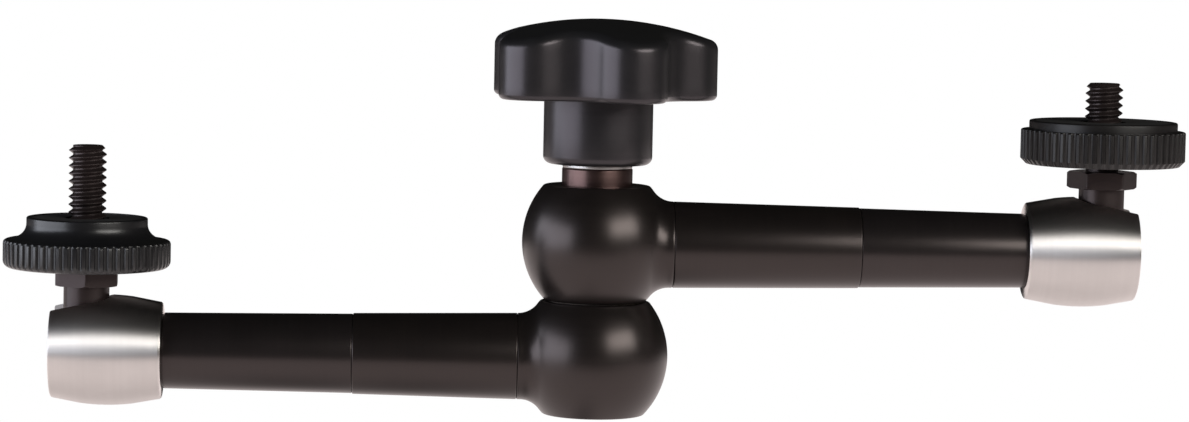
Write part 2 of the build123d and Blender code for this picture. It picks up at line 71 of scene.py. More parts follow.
log = logging.getLogger("friction_arm")

MM = 0.001
MERGE = 0.0005
SMOOTH_ANGLE = math.radians(32)
ROUNDING_STEPS = 5
WORN_EDGE_WIDTH = 0.00025
Colour = tuple[float, float, float]
Point = tuple[float, float, float]


class Cut(Enum):
    """What a boolean does with the second shape."""

    REMOVE = "DIFFERENCE"
    JOIN = "UNION"
    KEEP_SHARED = "INTERSECT"


class Axis(Enum):
    """The line a piece is turned round, as it is modelled."""

    ALONG_ARM = (1.0, 0.0, 0.0)
    UPRIGHT = (0.0, 0.0, 1.0)


@dataclass(frozen=True)
class Corner:
    """A corner of a turned outline, in millimetres.

    Args:
        radius: Distance from the turning axis.
        along: Distance along the turning axis.
        rounding: How far from the corner its rounding starts, or 0 for a sharp corner.
    """

    radius: float
    along: float
    rounding: float = 0.0


@dataclass(frozen=True)
class Seat:
    """Where a sub-assembly stands: the place of its own origin and its heading.

    Args:
        place: The origin in millimetres.
        heading: Turn about the upright axis in degrees.
    """

    place: Point = (0.0, 0.0, 0.0)
    heading: float = 0.0

    def matrix(self) -> Matrix:
        """Give the transform from millimetres at the seat to metres in the frame."""
        turn = Matrix.Rotation(math.radians(self.heading), 4, "Z")
        return Matrix.Scale(MM, 4) @ Matrix.Translation(self.place) @ turn


def deselect() -> None:
    """Go to object mode with nothing selected."""
    if bpy.context.mode != "OBJECT":
        bpy.ops.object.mode_set(mode="OBJECT")
    bpy.ops.object.select_all(action="DESELECT")


def pick(piece: bpy.types.Object) -> None:
    """Make one piece the only selected and active object."""
    deselect()
    piece.select_set(True)
    bpy.context.view_layer.objects.active = piece


def edit(piece: bpy.types.Object) -> None:
    """Open a piece in edit mode with all of it selected."""
    pick(piece)
    bpy.ops.object.mode_set(mode="EDIT")
    bpy.ops.mesh.select_all(action="SELECT")


def select_near(piece: bpy.types.Object, spots: Iterable[Point]) -> None:
    """Select the vertices that lie at given points of the mesh in edit mode.

    Args:
        piece: The piece in edit mode.
        spots: The points, in the mesh's own units.
    """
    shell = bmesh.from_edit_mesh(piece.data)
    wanted = [Vector(spot) for spot in spots]
    for vertex in shell.verts:
        vertex.select = any((vertex.co - spot).length < MERGE for spot in wanted)
    shell.select_flush_mode()
    bmesh.update_edit_mesh(piece.data)


def heal(piece: bpy.types.Object) -> None:
    """Merge doubled vertices, point the faces outwards and return to object mode."""
    edit(piece)
    bpy.ops.mesh.remove_doubles(threshold=MERGE)
    bpy.ops.mesh.normals_make_consistent(inside=False)
    bpy.ops.object.mode_set(mode="OBJECT")


def loop(name: str, spots: Sequence[Point], fill: str = "NGON") -> bpy.types.Object:
    """Lay a closed loop of vertices through given points.

    Args:
        name: Name of the piece.
        spots: The points, in millimetres.
        fill: Blender's name for what fills the loop.

    Returns:
        The loop, selected and active.
    """
    deselect()
    bpy.ops.mesh.primitive_circle_add(vertices=len(spots), fill_type=fill)
    piece = bpy.context.object
    piece.name = name
    for vertex, spot in zip(piece.data.vertices, spots):
        vertex.co = spot
    return piece


def turned(name: str, corners: Sequence[Corner], axis: Axis, steps: int = 128) -> bpy.types.Object:
    """Turn a closed outline round an axis, as on a lathe.

    Args:
        name: Name of the piece.
        corners: The outline, corner by corner.
        axis: The line it turns round.
        steps: How many faces go round.

    Returns:
        The closed piece, still in millimetres.
    """
    if axis is Axis.ALONG_ARM:
        spots = [(corner.along, corner.radius, 0.0) for corner in corners]
    else:
        spots = [(corner.radius, 0.0, corner.along) for corner in corners]
    piece = loop(name, spots)
    bpy.ops.object.mode_set(mode="EDIT")
    bpy.ops.mesh.select_mode(type="VERT")
    for corner, spot in zip(corners, spots):
        if corner.rounding:
            select_near(piece, [spot])
            bpy.ops.mesh.bevel(offset=corner.rounding, segments=ROUNDING_STEPS, affect="VERTICES")
    bpy.ops.mesh.select_all(action="SELECT")
    bpy.ops.mesh.delete(type="ONLY_FACE")
    bpy.ops.mesh.select_all(action="SELECT")
    bpy.ops.mesh.spin(steps=steps, angle=2 * math.pi, center=(0, 0, 0), axis=axis.value)
    heal(piece)
    return piece


def draped(name: str, rows: np.ndarray) -> bpy.types.Object:
    """Lay a grid over rows of points.

    Args:
        name: Name of the patch.
        rows: Points as an array of rows, columns and coordinates, in millimetres.

    Returns:
        The open patch.
    """
    deselect()
    down, across = rows.shape[:2]
    bpy.ops.mesh.primitive_grid_add(x_subdivisions=across - 1, y_subdivisions=down - 1)
    patch = bpy.context.object
    patch.name = name
    patch.data.vertices.foreach_set("co", rows.reshape(-1).astype(np.float32))
    patch.data.update()
    return patch


def sewn(patches: Sequence[bpy.types.Object]) -> bpy.types.Object:
    """Join patches that share their borders into one closed piece."""
    pick(patches[0])
    for patch in patches[1:]:
        patch.select_set(True)
    bpy.ops.object.join()
    heal(patches[0])
    return patches[0]


def carve(piece: bpy.types.Object, tool: bpy.types.Object, cut: Cut) -> None:
    """Cut, join or intersect a piece with a tool shape, which is used up.

    Args:
        piece: The piece that stays.
        tool: The closed shape that works on it.
        cut: What happens with the tool shape.
    """
    pick(piece)
    bpy.ops.object.modifier_add(type="BOOLEAN")
    work = piece.modifiers[-1]
    work.operation = cut.value
    work.solver = "EXACT"
    work.object = tool
    bpy.ops.object.modifier_apply(modifier=work.name)
    bpy.data.objects.remove(tool)


def prism(name: str, outline: Sequence[tuple[float, float]], low: float, high: float) -> bpy.types.Object:
    """Extrude a flat outline upwards.

    Args:
        name: Name of the piece.
        outline: Corners as x and y, in millimetres.
        low: Height of the base.
        high: Height of the top.

    Returns:
        The closed prism.
    """
    piece = loop(name, [(x, y, low) for x, y in outline])
    edit(piece)
    bpy.ops.mesh.extrude_region_move(TRANSFORM_OT_translate={"value": (0, 0, high - low)})
    heal(piece)
    return piece


def round_outline(radius: float, centre: tuple[float, float] = (0.0, 0.0), count: int = 96,
                  start: float = 0.0) -> list[tuple[float, float]]:
    """Give the corners of a regular outline.

    Args:
        radius: Distance of the corners from the centre.
        centre: The centre as x and y.
        count: How many corners.
        start: Direction of the first corner in degrees.

    Returns:
        The corners as x and y.
    """
    turns = [math.radians(start) + 2 * math.pi * k / count for k in range(count)]
    return [(centre[0] + radius * math.cos(t), centre[1] + radius * math.sin(t)) for t in turns]


def swing(first: np.ndarray, last: np.ndarray, steps: int) -> list[np.ndarray]:
    """Give the directions met on the way from one set of unit directions to another.

    Args:
        first: The directions at the start.
        last: The directions at the end.
        steps: How many sets to give, with both ends.

    Returns:
        The sets in order.
    """
    angle = np.arccos(np.clip((first * last).sum(-1), -1, 1))[:, None]
    return [(np.sin((1 - share) * angle) * first + np.sin(share * angle) * last) / np.sin(angle)
            for share in np.linspace(0, 1, steps)]


def smooth(piece: bpy.types.Object) -> None:
    """Shade the rounded surfaces smooth and keep the real edges."""
    pick(piece)
    bpy.ops.object.shade_smooth_by_angle(angle=SMOOTH_ANGLE)


class Tree:
    """A node tree with short calls for its nodes and links."""

    def __init__(self, tree: bpy.types.NodeTree) -> None:
        """Start from an empty tree."""
        self.tree = tree
        self.tree.nodes.clear()

    def node(self, kind: str, sockets: dict | None = None, **settings) -> bpy.types.Node:
        """Add a node, set its properties and feed its inputs.

        Args:
            kind: Blender's name of the node type.
            sockets: Values or output sockets by input name or number.
            **settings: Properties of the node.

        Returns:
            The new node.
        """
        made = self.tree.nodes.new(kind)
        for key, value in settings.items():
            setattr(made, key, value)
        for key, value in (sockets or {}).items():
            if isinstance(value, bpy.types.NodeSocket):
                self.tree.links.new(value, made.inputs[key])
            else:
                made.inputs[key].default_value = value
        return made

    def math(self, operation: str, first, second=0.0, third=0.0, clamp: bool = False):
        """Give the result of a math node on values or sockets."""
        sockets = {0: first, 1: second, 2: third}
        return self.node("ShaderNodeMath", sockets, operation=operation, use_clamp=clamp).outputs[0]

    def noise(self, scale, detail: float, vector=None, w=None, roughness: float = 0.5):
        """Give the value of a noise texture in three dimensions, or in one along w."""
        place, dimensions = ({"Vector": vector}, "3D") if w is None else ({"W": w}, "1D")
        sockets = {"Scale": scale, "Detail": detail, "Roughness": roughness, **place}
        return self.node("ShaderNodeTexNoise", sockets, noise_dimensions=dimensions).outputs["Fac"]

    def group(self, name: str, sockets: dict) -> bpy.types.bpy_prop_collection:
        """Place one of the shared groups, feed it and give its outputs."""
        return self.node("ShaderNodeGroup", sockets, node_tree=bpy.data.node_groups[name]).outputs

    def blend(self, share, first, second):
        """Give the mix of two colours by a share."""
        sockets = {0: share, 6: first, 7: second}
        return self.node("ShaderNodeMix", sockets, data_type="RGBA").outputs[2]


def new_group(name: str, inputs: Sequence[str], outputs: Sequence[str]) -> tuple[Tree, dict]:
    """Start a shader node group, in which every socket but the vector is a number.

    Args:
        name: Name of the group.
        inputs: Names of the inputs.
        outputs: Names of the outputs.

    Returns:
        The tree of the group, and its inputs by name.
    """
    group = bpy.data.node_groups.new(name, "ShaderNodeTree")
    for way, labels in (("INPUT", inputs), ("OUTPUT", outputs)):
        for label in labels:
            kind = "NodeSocketVector" if label == "Vector" else "NodeSocketFloat"
            group.interface.new_socket(label, in_out=way, socket_type=kind)
    tree = Tree(group)
    entry = tree.node("NodeGroupInput")
    return tree, {label: entry.outputs[label] for label in inputs}


def tool_mark_group() -> None:
    """Build the rings that a lathe tool leaves, round the upright axis of its vector."""
    coarse_share, fine_share = 0.4, 0.6
    tree, given = new_group("tool_marks", ("Vector", "Density"), ("Height", "Tone"))
    parts = tree.node("ShaderNodeSeparateXYZ", {0: given["Vector"]}).outputs
    flat = tree.node("ShaderNodeCombineXYZ", {"X": parts["X"], "Y": parts["Y"]}).outputs[0]
    radius = tree.node("ShaderNodeVectorMath", {0: flat}, operation="LENGTH").outputs["Value"]
    travel = tree.math("MULTIPLY", tree.math("ADD", radius, parts["Z"]), given["Density"])
    fine = tree.noise(scale=1.0, detail=3.0, w=travel, roughness=0.7)
    coarse = tree.noise(scale=0.17, detail=2.0, w=travel)
    height = tree.math("MULTIPLY_ADD", coarse, coarse_share, tree.math("MULTIPLY", fine, fine_share))
    tree.node("NodeGroupOutput", {"Height": height, "Tone": coarse})


def edge_group() -> None:
    """Build the mask of worn edges, broken up by noise."""
    sharpness, patch_gain, patch_offset = 6.0, 3.2, -1.1
    tree, given = new_group("edge_wear", ("Vector", "Width"), ("Mask",))
    true_normal = tree.node("ShaderNodeNewGeometry").outputs["Normal"]
    soft_normal = tree.node("ShaderNodeBevel", {"Radius": given["Width"]}, samples=4).outputs[0]
    agree = tree.node("ShaderNodeVectorMath", {0: true_normal, 1: soft_normal}, operation="DOT_PRODUCT")
    turned_away = tree.math("SUBTRACT", 1.0, agree.outputs["Value"])
    bend = tree.math("MULTIPLY", turned_away, sharpness, clamp=True)
    patchy = tree.noise(scale=900.0, detail=4.0, vector=given["Vector"], roughness=0.65)
    broken = tree.math("MULTIPLY_ADD", patchy, patch_gain, patch_offset, clamp=True)
    tree.node("NodeGroupOutput", {"Mask": tree.math("MULTIPLY", bend, broken)})


def skin_group() -> None:
    """Build the fine skin of a blasted or moulded surface, with faint handling marks."""
    mark_gain, mark_offset = 2.0, -0.5
    tree, given = new_group("fine_skin", ("Vector", "Scale"), ("Height", "Smudge"))
    grain = tree.noise(scale=given["Scale"], detail=4.0, vector=given["Vector"], roughness=0.6)
    marks = tree.noise(scale=140.0, detail=5.0, vector=given["Vector"], roughness=0.62)
    smudge = tree.math("MULTIPLY_ADD", marks, mark_gain, mark_offset, clamp=True)
    tree.node("NodeGroupOutput", {"Height": grain, "Smudge": smudge})


@dataclass(frozen=True)
class Lathe:
    """The axis that a surface pattern is centred on, in metres.

    Args:
        centre: A point of the axis.
        along_arm: True for an axis along the arm, False for an upright one.
    """

    centre: Point = (0.0, 0.0, 0.0)
    along_arm: bool = False

    def mapping(self) -> dict[str, Point]:
        """Give the Mapping node's values that bring the axis upright to the origin."""
        x, y, z = self.centre
        if self.along_arm:
            return {"Location": (z, -y, -x), "Rotation": (0.0, -math.pi / 2, 0.0)}
        return {"Location": (-x, -y, -z)}


@dataclass(frozen=True)
class Finish:
    """A surface treatment of the object, built as a material for each piece.

    Args:
        label: Plain name of the finish.
        slot: The record's material slot. It is not used.
        colour: Base colour.
        tone_colour: Second base colour, mixed in by the handling marks.
        worn_colour: Colour at the worn edges.
        wear: How much of the edge mask shows.
        rough: Lowest and highest roughness.
        metallic: How metallic the surface is.
        tint: Colour of the mirror reflection at right angles.
        ior: Refraction index of the surface layer.
        stretch: How far highlights are drawn out across the tool marks, 0 to 1.
        ring_density: Tool marks per metre.
        ring_depth: Depth of the tool marks in metres.
        grain_scale: Scale of the skin's grain.
        grain_depth: Depth of the skin's grain in metres.
    """

    label: str
    slot: str
    colour: Colour
    tone_colour: Colour
    worn_colour: Colour = (0.3, 0.28, 0.27)
    wear: float = 0.2
    rough: tuple[float, float] = (0.3, 0.4)
    metallic: float = 0.0
    tint: Colour = (1.0, 1.0, 1.0)
    ior: float = 1.5
    stretch: float = 0.0
    ring_density: float = 9000.0
    ring_depth: float = 2e-6
    grain_scale: float = 6000.0
    grain_depth: float = 4e-6

    def material(self, piece: str, lathe: Lathe) -> bpy.types.Material:
        """Build the finish for one piece.

        Args:
            piece: Name of the piece, for the material's name.
            lathe: The axis that its tool marks go round.

        Returns:
            The material.
        """
        made = bpy.data.materials.new(f"{self.label}.{piece}")
        made.use_nodes = True
        tree = Tree(made.node_tree)
        place = tree.node("ShaderNodeTexCoord").outputs["Object"]
        centred = tree.node("ShaderNodeMapping", {"Vector": place, **lathe.mapping()}).outputs[0]
        rings = tree.group("tool_marks", {"Vector": centred, "Density": self.ring_density})
        skin = tree.group("fine_skin", {"Vector": place, "Scale": self.grain_scale})
        edges = tree.group("edge_wear", {"Vector": place, "Width": WORN_EDGE_WIDTH})
        worn = tree.math("MULTIPLY", edges["Mask"], self.wear)
        half = 0.5
        spread = tree.math("MULTIPLY_ADD", rings["Tone"], half, tree.math("MULTIPLY", skin["Smudge"], half))
        base = tree.blend(spread, (*self.colour, 1.0), (*self.tone_colour, 1.0))
        colour = tree.blend(worn, base, (*self.worn_colour, 1.0))
        low, high = self.rough
        roughness = tree.math("MULTIPLY_ADD", spread, high - low, low)
        rings_only = tree.node("ShaderNodeBump", {
            "Height": rings["Height"], "Strength": 1.0, "Distance": self.ring_depth}).outputs[0]
        normal = tree.node("ShaderNodeBump", {
            "Height": skin["Height"], "Strength": 1.0, "Normal": rings_only,
            "Distance": self.grain_depth}).outputs[0]
        shader = tree.node("ShaderNodeBsdfPrincipled", {
            "Base Color": colour, "Roughness": roughness, "Metallic": self.metallic, "Normal": normal,
            "IOR": self.ior, "Specular Tint": (*self.tint, 1.0), "Anisotropic": self.stretch,
            "Anisotropic Rotation": 0.25,
        })
        if self.stretch:
            around = tree.node("ShaderNodeTangent", direction_type="RADIAL",
                               axis="X" if lathe.along_arm else "Z").outputs[0]
            tree.tree.links.new(around, shader.inputs["Tangent"])
        tree.node("ShaderNodeOutputMaterial", {"Surface": shader.outputs[0]})
        return made


SATIN_BLACK = Finish("satin_black_anodised", "black_satin_aluminium", (0.006, 0.005, 0.005),
                     (0.010, 0.008, 0.007), wear=0.03, rough=(0.29, 0.34), tint=(1.0, 0.86, 0.84), ior=1.52,
                     ring_depth=0.3e-6, grain_depth=1.2e-6)
GLOSS_BLACK = Finish("gloss_black_anodised", "black_gloss_aluminium", (0.007, 0.006, 0.006),
                     (0.012, 0.010, 0.010), wear=0.03, rough=(0.28, 0.32), tint=(1.0, 0.86, 0.84), ior=1.52,
                     ring_depth=0.2e-6, grain_depth=0.8e-6)
WHEEL_BLACK = Finish("wheel_black_anodised", "black_anodised_wheel", (0.007, 0.007, 0.008),
                     (0.012, 0.012, 0.013), wear=0.08, rough=(0.28, 0.34), ior=1.5,
                     ring_depth=0.5e-6, grain_depth=1.5e-6)
SATIN_WHEEL = Finish("satin_black_wheel", "black_anodised_wheel", (0.007, 0.006, 0.006),
                     (0.011, 0.010, 0.010), wear=0.08, rough=(0.34, 0.40), ior=1.38,
                     ring_depth=0.5e-6, grain_depth=1.5e-6)
STEEL_BLACK = Finish("blackened_steel", "black_steel", (0.012, 0.009, 0.009), (0.022, 0.016, 0.015),
                     wear=0.1, rough=(0.28, 0.38), tint=(1.0, 0.84, 0.84), ior=1.43, ring_depth=1.5e-6)
TURNED_BRIGHT = Finish("bright_turned", "bright_turned_aluminium", (0.87, 0.84, 0.82), (0.81, 0.78, 0.76),
                       worn_colour=(0.9, 0.89, 0.88), rough=(0.52, 0.60), metallic=1.0, stretch=1.0,
                       ring_density=7000.0, ring_depth=3e-6, grain_depth=0.0)
BRONZED = Finish("bronzed_steel", "bronzed_steel", (0.075, 0.045, 0.042), (0.11, 0.07, 0.065),
                 worn_colour=(0.5, 0.42, 0.38), rough=(0.28, 0.36), metallic=0.9, ring_depth=3e-6)
POLISHED = Finish("polished_steel", "bright_washer", (0.50, 0.49, 0.48), (0.42, 0.41, 0.40),
                  rough=(0.32, 0.4), metallic=1.0, ring_depth=1e-6, grain_depth=0.0)
KNOB_BLACK = Finish("moulded_black", "black_knob_plastic", (0.010, 0.010, 0.011), (0.016, 0.016, 0.017),
                    worn_colour=(0.05, 0.05, 0.05), wear=0.1, rough=(0.28, 0.34), tint=(1.0, 0.90, 0.96),
                    ring_depth=0.0, grain_scale=4200.0, grain_depth=8e-6)
RUBBER = Finish("pad_rubber", "pad_rubber", (0.016, 0.015, 0.015), (0.03, 0.028, 0.028), wear=0.05,
                rough=(0.62, 0.75), ring_depth=0.0, grain_scale=3000.0, grain_depth=3e-5)
FIBRE = Finish("friction_fibre", "friction_fibre", (0.10, 0.08, 0.07), (0.16, 0.13, 0.11), wear=0.1,
               rough=(0.7, 0.85), ring_depth=0.0, grain_scale=2500.0, grain_depth=4e-5)
PLAIN_STEEL = Finish("plain_steel", "plain_steel", (0.52, 0.52, 0.53), (0.44, 0.44, 0.45),
                     rough=(0.25, 0.38), metallic=1.0, ring_depth=3e-6)
BRASS = Finish("turned_brass", "brass_insert", (0.72, 0.53, 0.26), (0.60, 0.43, 0.20),
               rough=(0.25, 0.4), metallic=1.0, ring_depth=4e-6)
BEARING_BRASS = Finish("bearing_brass", "bearing_brass", (0.75, 0.57, 0.30), (0.62, 0.46, 0.24),
                       rough=(0.28, 0.42), metallic=1.0, ring_depth=4e-6)


class Bench:
    """Places finished pieces on the frame and keeps count of them."""

    def __init__(self, packed: dict) -> None:
        """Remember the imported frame."""
        self.nodes = packed["nodes"]
        self.made = 0

    def fit(self, piece: bpy.types.Object, seat: Seat, node: str, finish: Finish, lathe: Lathe) -> None:
        """Put a piece where the CAD node is, dress it and let it move with the node's body.

        Args:
            piece: The finished shape in millimetres, at its seat's origin.
            seat: Where the sub-assembly stands.
            node: The CAD node that the piece stands for.
            finish: Its surface treatment.
            lathe: The axis of its tool marks.
        """
        smooth(piece)
        piece.matrix_world = seat.matrix()
        bpy.ops.object.transform_apply(location=True, rotation=True, scale=True)
        piece.name = f"{node}_finished"
        piece.data.name = piece.name
        piece.data.materials.clear()
        piece.data.materials.append(finish.material(node, lathe))
        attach(piece, self.nodes[node]["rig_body"])
        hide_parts(node)
        self.made += 1
        log.info("%s: %d faces, %s", piece.name, len(piece.data.polygons), finish.label)

    def coat(self, node: str, finish: Finish, lathe: Lathe) -> None:
        """Give a CAD node that stays a better material."""
        own = self.nodes[node]
        made = finish.material(node, lathe)
        if not own.material_slots:
            own.data.materials.append(made)
        for holder in own.material_slots:
            holder.material = made
        log.info("%s: kept, %s", node, finish.label)


@dataclass(frozen=True)
class HubShape:
    """Bulged hub with a neck that flows out of it through a rolling fillet.

    Sizes are in millimetres round the centre of the hub, with the neck along +X. The neck's levels are
    shares of the way from the fillet to the seam.
    """

    top: float = 9.35
    base: float = -9.35
    widest_r: float = 12.2
    bulge_r: float = 14.2
    bulge_rise: float = 0.35
    rim_r: float = 0.6
    neck_r: float = 7.13
    fillet_r: float = 4.0
    seam: float = 12.7
    seam_bevel: float = 0.22
    spigot_r: float = 5.2
    spigot_end: float = 18.7
    spigot_bevel: float = 0.4
    shadow_line: float = 0.06
    neck_levels: tuple[float, ...] = (0.34, 0.67, 1.0)
    rod_bore_r: float = 2.08
    overrun: float = 0.5
    patch_turn: float = math.radians(68)
    side_steps: int = 34
    top_steps: int = 56
    rear_steps: int = 64
    rim_steps: int = 7
    fan_rows: int = 14
    fillet_rows: int = 16

    @property
    def bulge_centre(self) -> float:
        """Radius at which the centre of the bulge's arc lies."""
        return self.widest_r - self.bulge_r

    def bulge(self, turn: np.ndarray, height: np.ndarray) -> np.ndarray:
        """Give the points of the bulged side at turns about the upright axis and heights."""
        radius = self.bulge_centre + np.sqrt(self.bulge_r ** 2 - (height - self.bulge_rise) ** 2)
        return np.stack([radius * np.cos(turn), radius * np.sin(turn), height], axis=-1)

    def rim(self, side: int) -> list[tuple[float, float]]:
        """Give the rounding of a rim from the bulge to the flat.

        Args:
            side: 1 for the upper rim, -1 for the lower one.

        Returns:
            Radius and height of each point.
        """
        level = (self.top if side > 0 else self.base) - side * self.rim_r
        reach = self.bulge_r - self.rim_r
        away = side * (level - self.bulge_rise)
        out = math.sqrt(reach ** 2 - away ** 2)
        middle, r = self.bulge_centre + out, self.rim_r
        leans = np.linspace(math.atan2(away, out), math.pi / 2, self.rim_steps)
        return [(middle + r * math.cos(a), level + side * r * math.sin(a)) for a in leans]

    def heights(self, upward: np.ndarray) -> np.ndarray:
        """Give heights on the bulge from -1 at the lower rim to 1 at the upper one."""
        return np.interp(upward, (-1, 1), (self.rim(-1)[0][1], self.rim(1)[0][1]))

    def border(self) -> tuple[np.ndarray, np.ndarray, np.ndarray]:
        """Give the border of the patch round the neck as turns, heights and directions round the neck."""
        side = np.linspace(-1, 1, self.side_steps + 1)[:-1]
        top = np.linspace(1, -1, self.top_steps + 1)[:-1]
        across = np.concatenate([np.ones_like(side), top, -np.ones_like(side), -top])
        upward = np.concatenate([side, np.ones_like(top), -side, -np.ones_like(top)])
        across, upward = np.append(across, across[0]), np.append(upward, upward[0])
        return across * self.patch_turn, self.heights(upward), np.arctan2(upward, across)

    def ball_centres(self, around: np.ndarray) -> np.ndarray:
        """Give the centres of the ball that rolls between neck and bulge."""
        reach = self.neck_r + self.fillet_r
        side, up = reach * np.cos(around), reach * np.sin(around)
        out = np.sqrt((self.bulge_r + self.fillet_r) ** 2 - (up - self.bulge_rise) ** 2) + self.bulge_centre
        return np.stack([np.sqrt(out ** 2 - side ** 2), side, up], axis=-1)

    def neck_patch(self, around: np.ndarray) -> tuple[np.ndarray, np.ndarray]:
        """Give the rows from the bulge through the fillet to the spigot's end.

        Args:
            around: Directions round the neck.

        Returns:
            The rows of points, and the contact curve as turns and heights on the bulge.
        """
        centres = self.ball_centres(around)
        turn = np.arctan2(centres[:, 1], centres[:, 0])
        arc = self.bulge_centre * np.stack([np.cos(turn), np.sin(turn), 0 * turn], axis=-1)
        arc[:, 2] = self.bulge_rise
        to_hub = (arc - centres) / np.linalg.norm(arc - centres, axis=-1, keepdims=True)
        ring = np.stack([0 * around, np.cos(around), np.sin(around)], axis=-1)
        rows = [centres + self.fillet_r * lean for lean in swing(to_hub, -ring, self.fillet_rows + 1)]
        contact = rows[0]
        start = centres[:, :1]
        end = self.seam - self.seam_bevel
        for share in self.neck_levels:
            rows.append(ring * self.neck_r + (start + (end - start) * share) * (1, 0, 0))
        line, bevel = self.shadow_line, self.spigot_bevel
        steps = [(self.seam - line, self.neck_r - line), (self.seam, self.neck_r - self.seam_bevel),
                 (self.seam, self.spigot_r), (self.spigot_end - bevel, self.spigot_r),
                 (self.spigot_end, self.spigot_r - bevel), (self.spigot_end, 0.0)]
        rows += [ring * radius + np.array((along, 0, 0)) for along, radius in steps]
        meeting = np.stack([np.arctan2(contact[:, 1], contact[:, 0]), contact[:, 2]], axis=-1)
        return np.array(rows), meeting

    def ringed(self, profile: Sequence[tuple[float, float]], turns: np.ndarray) -> np.ndarray:
        """Sweep a profile of radius and height round the upright axis."""
        return np.array([[(r * math.cos(t), r * math.sin(t), z) for t in turns] for r, z in profile])

    def build(self, name: str, above: Sequence[tuple[float, float]],
              below: Sequence[tuple[float, float]]) -> bpy.types.Object:
        """Make the closed hub.

        Args:
            name: Name of the piece.
            above: Radius and height of what follows inside the upper rim.
            below: The same for the lower rim.

        Returns:
            The hub in millimetres.
        """
        turns, heights, around = self.border()
        neck, meeting = self.neck_patch(around)
        share = np.linspace(0, 1, self.fan_rows + 1)[:, None]
        fan = self.bulge(meeting[:, 0] + (turns - meeting[:, 0]) * share,
                         meeting[:, 1] + (heights - meeting[:, 1]) * share)
        rear = np.linspace(self.patch_turn, 2 * math.pi - self.patch_turn, self.rear_steps + 1)
        front = np.linspace(-self.patch_turn, self.patch_turn, self.top_steps + 1)
        levels = self.heights(np.linspace(-1, 1, self.side_steps + 1))
        band = np.array([self.bulge(rear, np.full_like(rear, level)) for level in levels])
        all_round = np.concatenate([front, rear[1:]])
        top = self.ringed([*self.rim(1), *above], all_round)
        bottom = self.ringed([*self.rim(-1), *below], all_round)
        hub = sewn([draped(name, neck), draped("fan", fan), draped("band", band),
                    draped("top", top), draped("bottom", bottom)])
        bore_r, inner, outer = self.rod_bore_r, -self.overrun, self.spigot_end + self.overrun
        bore = turned("rod_bore", [Corner(0, inner), Corner(bore_r, inner), Corner(bore_r, outer),
                                   Corner(0, outer)], Axis.ALONG_ARM, steps=32)
        carve(hub, bore, Cut.REMOVE)
        return hub


